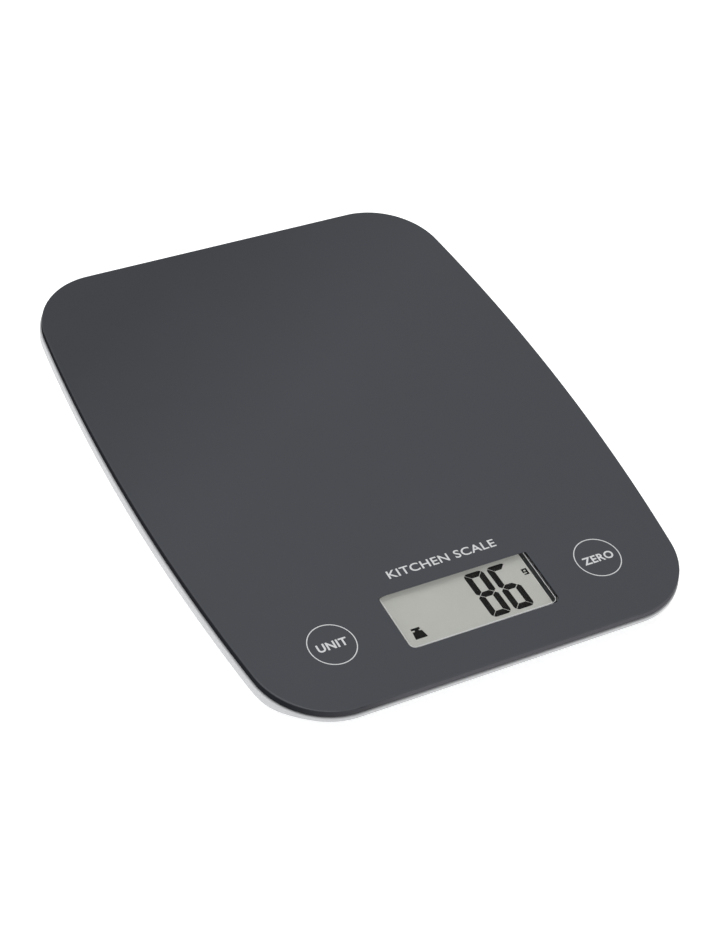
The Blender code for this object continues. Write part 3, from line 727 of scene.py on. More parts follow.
def lettering(legend: Legend, shift: np.ndarray, low: float, thickness: float) -> Piece:
    """Plain capitals as a thin mesh, scaled to an exact width and height and set flat.

    Args:
        legend: The word.
        shift: How far its middle is moved.
        low: The underside's height.
        thickness: How thick the letters are.

    Returns:
        The letters.
    """
    name, size = legend.name, legend.size
    centre = np.array(legend.centre) + shift
    curve = bpy.data.curves.new(name, "FONT")
    curve.body = legend.words
    curve.extrude = 0.01
    curve.bevel_depth = legend.weight
    curve.bevel_resolution = 1
    curve.space_character = 1.06
    curve.resolution_u = 6
    shape = bpy.data.objects.new(name, curve)
    bpy.context.scene.collection.objects.link(shape)
    graph = bpy.context.evaluated_depsgraph_get()
    mesh = bpy.data.meshes.new_from_object(shape.evaluated_get(graph))
    bpy.data.objects.remove(shape)
    bpy.data.curves.remove(curve)
    points = np.zeros(len(mesh.vertices) * 3)
    mesh.vertices.foreach_get("co", points)
    points = points.reshape(-1, 3)
    least, most = points.min(0), points.max(0)
    unit = (points - least) / (most - least)
    corner = np.array([centre[0] - size[0] / 2, centre[1] - size[1] / 2, low])
    placed = corner + unit * np.array([size[0], size[1], thickness])
    mesh.vertices.foreach_set("co", placed.ravel())
    close_seams(mesh)
    mesh.name = name
    thing = bpy.data.objects.new(name, mesh)
    bpy.context.scene.collection.objects.link(thing)
    return thing


# ---------------------------------------------------------------------------------------------------
# The plate


@dataclass(frozen=True)
class PlateOutline:
    """The glass plate's outline: bowed sides, straight ends and round corners."""

    half_width: float = 88.0 * MM
    half_length: float = 110.0 * MM
    side_radius: float = 745.0 * MM
    corner_radius: float = 27.4 * MM
    side_steps: int = 18
    corner_steps: int = 22
    end_steps: int = 8

    def loop(self, inset: float = 0.0) -> np.ndarray:
        """The outline, drawn in by an inset, as an anticlockwise loop from the middle of the right side.

        The side is an arc about a centre on the X axis. The corner's circle touches that arc from inside
        and the straight end, so its centre is a corner radius from both. Each arc keeps its centre and
        loses the inset from its radius. One quarter is worked out and mirrored.

        Args:
            inset: How far in, or out if negative.

        Returns:
            The loop, N by 2.
        """
        side_centre = self.half_width - self.side_radius
        corner_y = self.half_length - self.corner_radius
        reach = math.sqrt((self.side_radius - self.corner_radius) ** 2 - corner_y**2)
        corner_x = side_centre + reach
        meeting = math.atan2(corner_y, reach)
        side = np.linspace(0.0, meeting, self.side_steps + 1)
        turn = np.linspace(meeting, math.pi / 2, self.corner_steps + 1)[1:]
        along = np.linspace(corner_x, 0.0, self.end_steps + 1)[1:]
        arc = (self.side_radius - inset) * np.c_[np.cos(side), np.sin(side)] + [side_centre, 0]
        bend = (self.corner_radius - inset) * np.c_[np.cos(turn), np.sin(turn)] + [corner_x, corner_y]
        end = np.c_[along, np.full(len(along), self.half_length - inset)]
        quarter = np.vstack([arc, bend, end])
        return np.vstack(
            [
                quarter[:-1], (quarter * [-1, 1])[::-1][:-1], (quarter * [-1, -1])[:-1],
                (quarter * [1, -1])[::-1][:-1],
            ]
        )

    def rings(self, profile: np.ndarray) -> tuple[np.ndarray, np.ndarray]:
        """Loops and heights for a profile of (inset, z) points."""
        return np.stack([self.loop(inset) for inset, _ in profile]), profile[:, 1]


def cast_loop(loop: np.ndarray, centre: tuple[float, float], angles: np.ndarray) -> np.ndarray:
    """Where rays from a centre meet a convex loop.

    For the edge from A to B and the ray direction d, the distance is the cross product of A and B - A
    over the cross product of d and B - A. The edge that counts is the one the ray's angle falls in.

    Args:
        loop: The anticlockwise loop round the centre.
        centre: Where the rays start.
        angles: The rays' angles.

    Returns:
        One point for each angle.
    """
    start = loop - np.array(centre)
    edge = np.roll(start, -1, axis=0) - start
    ray = np.c_[np.cos(angles), np.sin(angles)]
    across = ray[:, None, 0] * edge[None, :, 1] - ray[:, None, 1] * edge[None, :, 0]
    lever = start[None, :, 0] * edge[None, :, 1] - start[None, :, 1] * edge[None, :, 0]
    distance = np.where(across > 1e-12, lever / np.maximum(across, 1e-12), np.inf)
    return np.array(centre) + ray * distance.min(axis=1)[:, None]


@dataclass
class GlassPlatform:
    """The glass plate: its dark enamelled field, the clear window, and the rings and words in white.

    The enamel lies under three millimetres of glass, which draws what lies on it nearer to the eye. Rings
    and words are set on the face where they are seen from the front left, by one sighting offset, and the
    window's walls lean by the same offset so that its lower edge keeps its true place.
    """

    outline: PlateOutline
    bottom: float
    top: float
    arris: float = 0.5 * MM
    ink: float = 0.03 * MM
    sight_x: float = -0.94 * MM
    sight_y: float = -1.26 * MM
    window_left: float = -27.4 * MM
    window_right: float = 31.9 * MM
    window_back: float = -69.4 * MM
    window_front: float = -93.5 * MM
    window_corners: tuple[float, float, float, float] = (0.8 * MM, 0.8 * MM, 2.3 * MM, 2.6 * MM)
    ring_radius: float = 8.5 * MM
    ring_line: float = 0.36 * MM
    rings: tuple[tuple[str, float, float], ...] = (
        ("unit_ring", -51.55 * MM, -81.8 * MM), ("zero_ring", 54.75 * MM, -80.95 * MM),
    )
    legends: tuple[Legend, ...] = (
        Legend("unit_word", "UNIT", (-51.6 * MM, -82.0 * MM), (11.3 * MM, 3.4 * MM)),
        Legend("zero_word", "ZERO", (54.8 * MM, -81.15 * MM), (12.3 * MM, 3.4 * MM)),
        Legend("plain_legend", "KITCHEN SCALE", (2.15 * MM, -61.6 * MM), (43.0 * MM, 3.5 * MM), 0.012),
    )

    @property
    def sight(self) -> np.ndarray:
        """How far the glass shifts what lies under it."""
        return np.array([self.sight_x, self.sight_y])

    @property
    def window_centre(self) -> np.ndarray:
        """The middle of the window's lower edge."""
        x = (self.window_right + self.window_left) / 2
        return np.array([x, (self.window_back + self.window_front) / 2])

    def build(self) -> None:
        """Build the plate, the clear window and the print."""
        self.plate()
        self.ground_edge()
        self.pane()
        for name, x, y in self.rings:
            self.ring(name, (x, y))
        for legend in self.legends:
            self.word(legend)

    def window_loop(self, spread: float = 0.0) -> np.ndarray:
        """The window's outline, grown by a spread."""
        half_x = (self.window_right - self.window_left) / 2 + spread
        half_y = (self.window_back - self.window_front) / 2 + spread
        loop = rounded_rectangle(half_x, half_y, np.array(self.window_corners) + spread, 10)
        return loop + self.window_centre

    def plate(self) -> None:
        """The plate: one closed section carried round the window.

        From the window's middle, a ray at each angle meets the eased outer section's loops and the window's
        upper and lower loops. The meeting points make a grid that wraps both ways.
        """
        face = self.top - self.ink
        section = eased(
            [(self.arris * 2.6, self.bottom), (0.0, self.bottom), (0.0, face), (self.arris * 2.6, face)],
            self.arris, 6,
        )
        edges = [self.outline.loop(inset) for inset, _ in section]
        window = self.window_loop()
        loops = [*edges, window + self.sight, window]
        heights = [*section[:, 1], face, self.bottom]
        spokes = np.vstack([edges[0], window, window + self.sight]) - self.window_centre
        angles = np.unique(np.round(np.arctan2(spokes[:, 1], spokes[:, 0]), 5))
        centre = (self.window_centre[0], self.window_centre[1])
        rows = np.stack([cast_loop(loop, centre, angles) for loop in loops])
        piece = hoop("glass_plate", rows, np.array(heights))
        for polygon in piece.data.polygons:
            if abs(polygon.normal.z) > 0.9999:
                polygon.use_smooth = False
        dress(piece, PRINTED_GLASS, "glass", "glass_platform")

    def ground_edge(self) -> None:
        """The ground strip of the plate's edge, a hair proud of it, between the arrises, coloured with
        painted shade.
        """
        inner = self.outline.loop(0.03 * MM)
        outer = self.outline.loop(-0.02 * MM)
        low = self.bottom + 0.3 * MM
        piece = band("glass_ground_edge", inner, outer, low, self.top - 0.42 * MM)
        dress(piece, GROUND_EDGE, "glass")

    def pane(self) -> None:
        """The clear glass that fills the window, with the same leaning walls."""
        loop = self.window_loop(-0.01 * MM)
        loops = np.stack([loop, loop + self.sight])
        heights = np.array([self.bottom + 0.01 * MM, self.top - self.ink])
        piece = loft("glass_window", loops, heights, smooth=False)
        dress(piece, CLEAR_GLASS, "glass")

    def ring(self, name: str, centre: tuple[float, float]) -> None:
        """One touch ring: a flat band between two circles."""
        middle = np.array(centre) + self.sight
        inner = circle(self.ring_radius - self.ring_line / 2, 96) + middle
        outer = circle(self.ring_radius + self.ring_line / 2, 96) + middle
        piece = band(name, inner, outer, self.top - 2 * self.ink, self.top)
        dress(piece, WHITE_ENAMEL, "glass")

    def word(self, legend: Legend) -> None:
        """A plain word in capitals."""
        piece = lettering(legend, self.sight, self.top - 2 * self.ink, 2 * self.ink)
        dress(piece, WHITE_ENAMEL, "glass")


# ---------------------------------------------------------------------------------------------------
# The display


@dataclass
class Display:
    """The liquid-crystal cell, its dark segments and the charcoal frame that holds it."""

    front: float
    back: float
    left: float
    right: float
    cell_low: float
    cell_high: float
    digit_width: float = 7.8 * MM
    digit_height: float = 20.6 * MM
    digit_round: float = 1.7 * MM
    stroke: float = 2.4 * MM
    gap: float = 0.13 * MM
    lean: float = -0.028
    digits: tuple[tuple[Glyph, float, float], ...] = (
        (Glyph.EIGHT, 6.5 * MM, -90.8 * MM), (Glyph.SIX, 15.75 * MM, -90.8 * MM),
    )
    sheet_round: float = 0.3 * MM
    lip_front: float = -93.15 * MM
    lip_right: float = 31.15 * MM
    lip_half: float = 29.1 * MM
    lip_inset: float = 0.6 * MM
    lip_line: float = 0.26 * MM
    lip_round: float = 2.0 * MM
    ink: float = 0.03 * MM

    def build(self) -> None:
        """Build the cell, the segments and the frame."""
        self.cell()
        self.segments()
        self.frame()

    def sheet(self, name: str, section: list[tuple[float, float]]) -> Piece:
        """A flat solid whose section of (inset, z) points is carried round the cell's rectangle."""
        half = ((self.right - self.left) / 2, (self.back - self.front) / 2)
        centre = np.array([(self.right + self.left) / 2, (self.back + self.front) / 2])
        loops = [rounded_rectangle(half[0] - i, half[1] - i, self.sheet_round, 4) for i, _ in section]
        return loft(name, np.stack(loops) + centre, np.array([z for _, z in section]))

    def cell(self) -> None:
        """The cell: two glass sheets with a recessed seam between them, under a slightly smaller film."""
        film = 0.25 * MM
        seam = 0.12 * MM
        middle = (self.cell_low + self.cell_high - film) / 2
        steps = [
            (0.15 * MM, self.cell_low), (0.0, self.cell_low + 0.15 * MM), (0.0, middle - seam),
            (seam, middle), (0.0, middle + seam), (0.0, self.cell_high - film - 0.1 * MM),
            (0.1 * MM, self.cell_high - film),
        ]
        piece = self.sheet("display_cell", steps)
        dress(piece, LCD_EDGE, "lcd", "lcd_panel")
        inset = 0.35 * MM
        skin = [
            (inset, self.cell_high - film + 0.005 * MM), (inset, self.cell_high - 0.05 * MM),
            (inset + 0.05 * MM, self.cell_high),
        ]
        piece = self.sheet("display_film", skin)
        dress(piece, LCD_FIELD, "lcd")

    def digit_outlines(self, glyph: Glyph) -> list[np.ndarray]:
        """The dark segments of one digit, with its left side at x 0 and its foot at y 0.

        The figure's outer corners are arcs of the digit's round. Each arc is shared at its middle by two
        segments, which are mitred from there to the inner corner and pulled a gap apart. The top bar and
        the upper left bar are worked out, and the others are their mirror images.

        Args:
            glyph: The digit.

        Returns:
            One convex anticlockwise outline for each dark segment.
        """
        w, h, t, g, r = self.digit_width, self.digit_height, self.stroke, self.gap, self.digit_round
        m = h / 2
        half_turn = np.linspace(0.0, math.pi / 4, 6)
        arc = r * np.c_[np.cos(half_turn), np.sin(half_turn)]
        right = arc[:, ::-1] + [w - r - g, h - r]
        left = arc[:, ::-1] * [-1, 1] + [r + g, h - r]
        top = np.vstack([[(t + g, h - t), (w - t - g, h - t)], right[::-1], left])
        side = arc[::-1] * [-1, 1] + [r, h - r - g]
        ends = [(0.0, m + 0.42 * t), (0.38 * t, m + g), (t, m + 0.5 * t + g), (t, h - t - g)]
        upper_left = np.vstack([ends, side])
        middle = np.array(
            [
                (0.5 * t, m), (t + g, m - 0.5 * t), (w - t - g, m - 0.5 * t), (w - 0.5 * t, m),
                (w - t - g, m + 0.5 * t), (t + g, m + 0.5 * t),
            ]
        )
        shapes = {
            "a": top, "f": upper_left, "b": (upper_left * [-1, 1] + [w, 0])[::-1], "g": middle,
            "d": (top * [1, -1] + [0, h])[::-1], "e": (upper_left * [1, -1] + [0, h])[::-1],
            "c": upper_left * [-1, -1] + [w, h],
        }
        return [shapes[letter] for letter in glyph.value]

    def unit_letter(self) -> list[np.ndarray]:
        """The small block letter g: a square bowl, a stem on its right and a tail below."""
        bars = np.array(
            [
                (26.8, -75.75, 28.9, -75.15), (26.8, -76.95, 27.45, -75.15), (26.8, -76.95, 28.9, -76.4),
                (28.25, -77.95, 28.95, -75.15), (27.0, -77.95, 28.95, -77.4),
            ]
        )
        left, low, right, high = (bars * MM).T
        corners = [np.c_[left, low], np.c_[right, low], np.c_[right, high], np.c_[left, high]]
        return list(np.stack(corners, axis=1))

    def segments(self) -> None:
        """Two digits, the small unit letter and the weight sign, as thin dark prisms on the film."""
        shapes: list[np.ndarray] = []
        for glyph, x, y in self.digits:
            for outline in self.digit_outlines(glyph):
                leaning = outline + np.c_[outline[:, 1] * self.lean, np.zeros(len(outline))]
                shapes.append(leaning + np.array([x, y]))
        body = [(-23.3, -89.6), (-18.6, -89.6), (-19.3, -86.4), (-22.95, -86.4)]
        neck = [(-21.9, -86.5), (-20.3, -86.5), (-20.3, -85.6), (-21.9, -85.6)]
        knob = [(-23.0, -85.8), (-19.6, -85.8), (-19.6, -84.9), (-23.0, -84.9)]
        shapes.extend(np.array(outline) * MM for outline in (body, neck, knob))
        shapes.extend(self.unit_letter())
        low = self.cell_high + 0.01 * MM
        piece = prisms("display_segments", shapes, low, low + self.ink)
        dress(piece, LCD_DARK, "lcd")

    def frame(self) -> None:
        """The frame: a wall round the cell whose inner top edge is chamfered.

        Its section, carried round the opening, is a closed profile of (outset, z) points.
        """
        low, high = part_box("display_frame")
        wall = 1.7 * MM
        chamfer = 0.35 * MM
        section = [
            (wall - 0.3 * MM, low.z), (wall, low.z + 0.3 * MM), (wall, high.z - 0.3 * MM),
            (wall - 0.3 * MM, high.z), (chamfer, high.z), (0.0, high.z - chamfer), (0.0, low.z),
        ]
        half = np.array([(high.x - low.x) / 2 - wall, (high.y - low.y) / 2 - wall])
        centre = np.array([(high.x + low.x) / 2, (high.y + low.y) / 2])
        loops = np.stack(
            [rounded_rectangle(half[0] + o, half[1] + o, 0.4 * MM + o, 6) + centre for o, _ in section]
        )
        piece = hoop("display_surround", loops, np.array([z for _, z in section]))
        dress(piece, SURROUND_ABS, "frame", "display_frame")
        self.lip(high.z)

    def lip(self, top: float) -> None:
        """A painted highlight on the surround's inner lip: a hair-thin pale, glowing band just inside the
        window's edge.
        """
        _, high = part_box("display_frame")
        back = high.y - self.lip_inset
        half = np.array([self.lip_half, (back - self.lip_front) / 2])
        centre = np.array([self.lip_right - half[0], (back + self.lip_front) / 2])
        line = self.lip_line
        inner = rounded_rectangle(half[0] - line, half[1] - line, self.lip_round - line, 8) + centre
        outer = rounded_rectangle(half[0], half[1], self.lip_round, 8) + centre
        piece = band("surround_lip", inner, outer, top - 0.05 * MM, top - 0.005 * MM)
        dress(piece, LIP_PAINTED_HIGHLIGHT, "frame")


# ---------------------------------------------------------------------------------------------------
# The tray


@dataclass
class Tray:
    """The white moulded tray: lip, skirt, floor with foot holes, battery bay, ribs and screw bosses."""

    outline: PlateOutline
    lip_top: float = 12.7 * MM
    bottom: float = 2.0 * MM
    floor_top: float = 4.0 * MM
    foot_hole: float = 9.8 * MM
    door_half: float = 15.0 * MM
    door_front: float = 11.0 * MM
    gap: float = 0.3 * MM
    side_skirt: tuple[float, float, float, float] = (7.5 * MM, 8.0 * MM, 8.6 * MM, 9.4 * MM)
    end_skirt: tuple[float, float, float, float] = (9.3 * MM, 10.2 * MM, 10.8 * MM, 11.2 * MM)

    def build(self) -> None:
        """Loft the shell, then join on its inner features and cut its openings."""
        side, side_z = self.outline.rings(self.profile(self.side_skirt))
        end, end_z = self.outline.rings(self.profile(self.end_skirt))
        share = self.end_share()
        loops = side + (end - side) * share[None, :, None]
        heights = side_z[:, None] + (end_z - side_z)[:, None] * share[None, :]
        tray = loft("moulded_tray", loops, heights)
        carve(tray, self.inner_features(), "UNION")
        carve(tray, self.openings(), "DIFFERENCE")
        dress(tray, WHITE_ABS, "tray", "base_tray")

    def end_share(self) -> np.ndarray:
        """How far each point of the outline belongs to an end, from 0 on the sides to 1 on the ends.

        With n the outward normal's share along Y and u = (n - 0.35) / 0.5 held between 0 and 1, it is
        u^2 (3 - 2u).
        """
        loop = self.outline.loop()
        along = np.roll(loop, -1, axis=0) - np.roll(loop, 1, axis=0)
        facing = np.abs(along[:, 0]) / np.linalg.norm(along, axis=1)
        share = np.clip((facing - 0.35) / 0.5, 0.0, 1.0)
        return share**2 * (3 - 2 * share)

    def profile(self, skirt: tuple[float, float, float, float]) -> np.ndarray:
        """The wall's section as (inset, z): from under the floor, out up the skirt, over the lip and in.

        Args:
            skirt: The heights of the skirt's four bends.

        Returns:
            The section's points.
        """
        outside = eased(
            [
                (15.0 * MM, self.bottom), (13.1 * MM, self.bottom + 0.4 * MM), (11.5 * MM, 3.3 * MM),
                (2.6 * MM, skirt[0]), (1.0 * MM, skirt[1]), (0.0, skirt[2]), (-0.5 * MM, skirt[3]),
                (-0.5 * MM, self.lip_top), (0.7 * MM, self.lip_top),
            ],
            0.32 * MM,
            4,
        )
        inside = [
            (0.7 * MM, 11.8 * MM), (5.5 * MM, 11.8 * MM), (5.5 * MM, 8.85 * MM),
            (14.4 * MM, self.floor_top),
        ]
        return np.vstack([outside, np.array(inside)])

    def inner_features(self) -> list[Piece]:
        """The battery bay's block, the ribs and the screw bosses."""
        rib = 1.4 * MM
        half = 30.0 * MM
        tools = [
            slab(
                (-self.door_half - 2.3 * MM, self.door_front - 2.3 * MM, 2.3 * MM),
                (self.door_half + 2.3 * MM, DOOR_BACK + 4.3 * MM, 9.5 * MM), 1.0 * MM,
            )
        ]
        for side in (-1, 1):
            x = side * half
            front, back = (x - rib / 2, -44.0 * MM, 3.0 * MM), (x + rib / 2, 88.0 * MM, 7.0 * MM)
            tools.append(slab(front, back, 0.3 * MM))
        for y in (self.door_front - 8.5 * MM, DOOR_BACK + 8.5 * MM):
            tools.append(
                slab((-half - rib, y - rib / 2, 3.1 * MM), (half + rib, y + rib / 2, 6.8 * MM), 0.3 * MM)
            )
        for place in self.boss_places():
            tools.append(column(place, 2.8 * MM, 3.4 * MM, 6.4 * MM, 32))
        return tools

    def boss_places(self) -> list[tuple[float, float]]:
        """Where the sensor holders' screws stand, two beside each foot."""
        offset = 17.3 * MM
        return [(corner.place[0], corner.place[1] + turn * offset) for corner in Corner for turn in (-1, 1)]

    def openings(self) -> list[Piece]:
        """The foot holes, the door's seat with its hook slots and finger dip, and the cell's well."""
        tools = [column(corner.place, self.foot_hole, 1.0 * MM, 6.0 * MM, 72) for corner in Corner]
        seat = self.door_half + self.gap
        front = self.door_front - self.gap
        back = DOOR_BACK + self.gap
        tools.append(slab((-seat, front, 1.0 * MM), (seat, back, 3.8 * MM), 1.0 * MM))
        tools.append(column((0.0, CELL_Y), 10.7 * MM, 1.5 * MM, 8.3 * MM, 64))
        tools.append(column((0.0, front), 6.0 * MM, 0.5 * MM, 3.0 * MM, 48))
        for side in (-1, 1):
            x = side * self.door_half / 2
            tools.append(
                slab(
                    (x - 2.8 * MM, back - 1.4 * MM, 2.54 * MM),
                    (x + 2.8 * MM, back + 1.96 * MM, 4.9 * MM), 0.2 * MM,
                )
            )
        return tools


# ---------------------------------------------------------------------------------------------------
# The feet


@dataclass
class Foot:
    """One sensing foot: a rubber pad in a white cup whose post rises to the load sensor."""

    corner: Corner
    radius: float = 9.5 * MM

    def build(self) -> None:
        """Build the pad and the cup."""
        self.pad()
        self.cup()

    def pad(self) -> None:
        """The pad: a disc turned from a profile with a rounded tread edge and two shallow grooves."""
        r = self.radius - 0.5 * MM
        groove = 0.35 * MM
        depth = 0.25 * MM
        tread = [(0.05 * MM, 0.0)]
        for middle in (3.2 * MM, 5.8 * MM):
            tread += [
                (middle - groove, 0.0), (middle - groove * 0.6, depth), (middle + groove * 0.6, depth),
                (middle + groove, 0.0),
            ]
        edge = eased([(r - 1.6 * MM, 0.0), (r - 0.45 * MM, 0.0), (r, 0.5 * MM), (r, 1.6 * MM)], 0.4 * MM, 5)
        profile = np.vstack([np.array(tread), edge, [(0.05 * MM, 1.6 * MM)]])
        piece = turned("foot_rubber_" + self.corner.label, self.corner.place, profile, 72)
        dress(piece, GREY_RUBBER, "foot_pad", "foot_pad_" + self.corner.label, body=self.corner.body)

    def cup(self) -> None:
        """The cup: a turned disc with an eased rim, a flange above the tray's floor and a post."""
        r = self.radius
        flange = 10.7 * MM
        profile = eased(
            [
                (0.05 * MM, 1.9 * MM), (r, 1.9 * MM), (r, 4.3 * MM), (flange, 4.3 * MM),
                (flange, 5.1 * MM), (2.5 * MM, 5.1 * MM), (2.5 * MM, 5.9 * MM), (0.05 * MM, 5.9 * MM),
            ],
            0.25 * MM,
            4,
        )
        piece = turned("foot_shell_" + self.corner.label, self.corner.place, profile, 72)
        dress(piece, WHITE_ABS, "foot_cup", "foot_cup_" + self.corner.label, body=self.corner.body)


# ---------------------------------------------------------------------------------------------------
# The battery


@dataclass
class Battery:
    """The coin cell and the hooked door that closes its well."""

    cell_radius: float = 10.0 * MM
    cell_low: float = 4.1 * MM
    cell_high: float = 7.3 * MM
    door_low: float = 2.0 * MM
    door_high: float = 3.5 * MM

    def build(self) -> None:
        """Build the cell and the door."""
        self.cell()
        self.door()

    def cell(self) -> None:
        """The cell: a turned can with a rolled edge, a gasket groove and a raised cap."""
        r = self.cell_radius
        profile = eased(
            [
                (0.05 * MM, self.cell_low), (r, self.cell_low), (r, 6.55 * MM), (r * 0.93, 6.75 * MM),
                (r * 0.90, 6.60 * MM), (r * 0.87, 6.75 * MM), (r * 0.84, self.cell_high),
                (0.05 * MM, self.cell_high),
            ],
            0.45 * MM,
            6,
        )
        piece = turned("cell_can", (0.0, CELL_Y), profile, 96)
        dress(piece, CELL_CAN, "cell", "coin_cell")

    def door(self) -> None:
        """The door: a lofted cover with eased edges, finger grooves in its front and two hooks behind."""
        low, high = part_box("battery_door")
        half_x = (high.x - low.x) / 2
        front = low.y
        back = DOOR_BACK
        centre = np.array([0.0, (front + back) / 2])
        half_y = (back - front) / 2
        flat = 1.2 * MM
        bottom, top = self.door_low, self.door_high
        profile = eased([(flat, bottom), (0.0, bottom), (0.0, top), (flat, top)], 0.3 * MM, 4)
        loops = [
            rounded_rectangle(half_x - i, half_y - i, max(1.0 * MM - i, 0.2 * MM), 8) + centre
            for i, _ in profile
        ]
        door = loft("door_cover", np.stack(loops), profile[:, 1])
        dips = []
        for row in range(4):
            y = front + (2.6 + 1.5 * row) * MM
            low_end, high_end = (-7.0 * MM, y - 0.4 * MM, 1.0 * MM), (7.0 * MM, y + 0.4 * MM, 2.3 * MM)
            dips.append(slab(low_end, high_end, 0.39 * MM))
        carve(door, dips, "DIFFERENCE")
        hooks = []
        for side in (-1, 1):
            x = side * half_x / 2
            hooks.append(
                slab(
                    (x - 2.5 * MM, back - 2.8 * MM, self.door_high - 0.6 * MM),
                    (x + 2.5 * MM, high.y, self.door_high - 0.03 * MM), 0.3 * MM,
                )
            )
        carve(door, hooks, "UNION")
        dress(door, WHITE_ABS, "door", "battery_door", body=Body.DOOR.value)


# ---------------------------------------------------------------------------------------------------
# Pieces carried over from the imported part


@dataclass(frozen=True)
class InnerWorks:
    """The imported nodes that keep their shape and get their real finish."""

    finishes: tuple[tuple[str, Finish], ...] = (
        ("mounting_tape", FOAM_TAPE), ("circuit_board", SOLDER_RESIST), ("driver_chip", EPOXY),
        ("display_connector", STRIPED_RUBBER), ("touch_electrode_unit", COPPER),
        ("touch_electrode_zero", COPPER), ("contact_negative", NICKEL), ("contact_positive", NICKEL),
    )

    def dress_all(self) -> None:
        """Give every carried-over node its finish."""
        for node, finish in self.finishes:
            redress(node, finish)
        for corner in Corner:
            redress("load_sensor_" + corner.label, STAMPED_STEEL)
            redress("sensor_holder_" + corner.label, BLACK_ABS)
            redress("sensor_lead_" + corner.label, WIRE_RED)
            redress("board_screw_" + corner.label, ZINC)
            for place in ("near", "far"):
                redress(f"sensor_screw_{corner.label}_{place}", ZINC)


# ---------------------------------------------------------------------------------------------------
# The studio


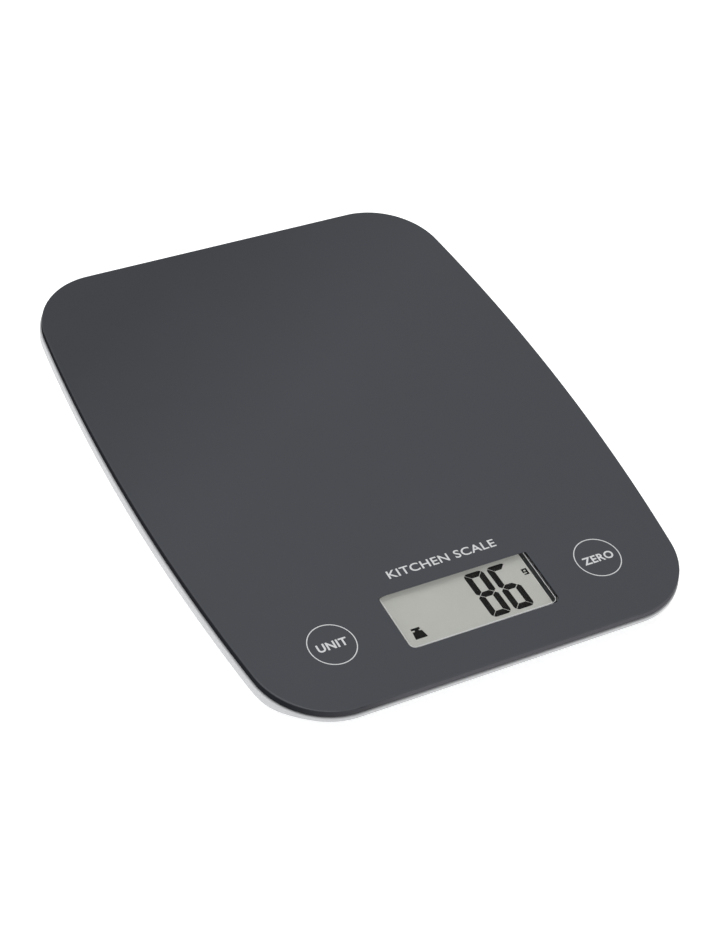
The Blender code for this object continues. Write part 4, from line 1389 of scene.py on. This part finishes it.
@dataclass
class Studio:
    """A plain pale floor, soft light from all round, one large soft lamp and the camera."""

    floor_half: float = 4.0
    world_strength: float = 0.62
    dark_strength: float = 0.12
    dark_towards: tuple[float, float, float] = (0.42, 0.57, 0.71)
    eye: tuple[float, float, float] = (-0.37593, -0.51210, 0.64146)
    aim: tuple[float, float, float] = (-0.00416, -0.01279, 0.016)
    dim_from: float = 0.55
    dim_to: float = 0.9
    key_place: tuple[float, float, float] = (-0.45, 0.0, 1.8)
    key_size: float = 1.6
    key_power: float = 23.0
    roll: float = 11.821
    lens: float = 96.304
    sensor: float = 36.0

    def build(self) -> None:
        """Build the floor, the light and the camera."""
        self.floor()
        self.light()
        self.camera()
        bpy.context.scene.view_settings.view_transform = "Standard"

    def floor(self) -> None:
        """A wide flat sheet whose far part curls up.

        With d the distance from the middle over the sheet's half width, it rises 0.4 (d - 0.6)^2 metres
        past d 0.6.
        """
        steps = 41
        line = np.linspace(-self.floor_half, self.floor_half, steps)
        x, y = np.meshgrid(line, line, indexing="xy")
        far = np.maximum(np.hypot(x, y) / self.floor_half - 0.6, 0.0)
        points = np.stack([x, y, 0.4 * far**2], axis=-1).reshape(-1, 3)
        row = np.arange(steps - 1)[:, None] * steps
        start = (row + np.arange(steps - 1)[None, :]).reshape(-1)
        faces = np.c_[start, start + 1, start + steps + 1, start + steps]
        sheet = link_mesh("studio_floor", points, faces.tolist())
        paper = Finish(
            "lit_opal_table", "F4F4F4", 0.9, specular=0.1, glow=0.55, mottle_colour="F2F2F2",
            mottle_size=0.4,
        )
        sheet.data.materials.append(paper.build())

    def light(self) -> None:
        """A pale surround with one dim quarter, and one large soft lamp overhead, a little to the left.

        The dim quarter lies where the plate's face mirrors it to the front left. With c the cosine of the
        angle to its middle, the strength falls from full at c 0.55 to dim at c 0.9.
        """
        world = bpy.data.worlds.new("soft_surround")
        world.use_nodes = True
        tree = world.node_tree
        tree.nodes.clear()
        towards = add_node(tree, "ShaderNodeTexCoord").outputs["Generated"]
        cosine = add_node(tree, "ShaderNodeVectorMath", {"operation": "DOT_PRODUCT"}, {"Vector": towards})
        cosine.inputs[1].default_value = self.dark_towards
        strength = add_node(
            tree,
            "ShaderNodeMapRange",
            {
                "interpolation_type": "SMOOTHSTEP", "From Min": self.dim_from, "From Max": self.dim_to,
                "To Min": self.world_strength, "To Max": self.dark_strength,
            },
            {"Value": cosine.outputs["Value"]},
        )
        shade = add_node(
            tree, "ShaderNodeBackground", {"Color": (1.0, 1.0, 1.0, 1.0)},
            {"Strength": strength.outputs[0]},
        )
        add_node(tree, "ShaderNodeOutputWorld", links={"Surface": shade.outputs[0]})
        bpy.context.scene.world = world
        self.lamp("key_softbox")

    def lamp(self, name: str) -> None:
        """The square soft lamp, which looks at the scale."""
        data = bpy.data.lights.new(name, "AREA")
        data.shape = "SQUARE"
        data.size = self.key_size
        data.energy = self.key_power
        thing = bpy.data.objects.new(name, data)
        look = (Vector((0.0, 0.0, 0.0)) - Vector(self.key_place)).to_track_quat("-Z", "Y")
        thing.matrix_world = Matrix.Translation(self.key_place) @ look.to_matrix().to_4x4()
        bpy.context.scene.collection.objects.link(thing)

    def camera(self) -> None:
        """The camera, turned about its own axis by the roll."""
        data = bpy.data.cameras.new("view_camera")
        data.lens = self.lens
        data.sensor_width = self.sensor
        data.sensor_fit = "AUTO"
        data.clip_start = 0.01
        data.clip_end = 20.0
        ahead = (Vector(self.aim) - Vector(self.eye)).normalized()
        level = ahead.cross(Vector((0.0, 0.0, 1.0))).normalized()
        upright = level.cross(ahead)
        angle = math.radians(self.roll)
        right = level * math.cos(angle) + upright * math.sin(angle)
        up = upright * math.cos(angle) - level * math.sin(angle)
        turn = Matrix((right, up, -ahead)).transposed().to_4x4()
        thing = bpy.data.objects.new("view_camera", data)
        thing.matrix_world = Matrix.Translation(self.eye) @ turn
        bpy.context.scene.collection.objects.link(thing)
        bpy.context.scene.camera = thing


# ---------------------------------------------------------------------------------------------------
# The build


def main() -> None:
    """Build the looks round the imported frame, in order, and report each piece."""
    logging.basicConfig(level=logging.INFO, format="%(name)s: %(message)s")
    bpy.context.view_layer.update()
    outline = PlateOutline()
    glass_low, glass_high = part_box("glass_platform")
    lcd_low, lcd_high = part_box("lcd_panel")
    GlassPlatform(outline, bottom=glass_low.z, top=glass_high.z).build()
    Display(
        front=lcd_low.y, back=lcd_high.y, left=lcd_low.x, right=lcd_high.x, cell_low=lcd_low.z,
        cell_high=lcd_high.z,
    ).build()
    Tray(outline).build()
    for corner in Corner:
        Foot(corner).build()
    Battery().build()
    InnerWorks().dress_all()
    Studio().build()


if __name__ == "__main__":
    main()
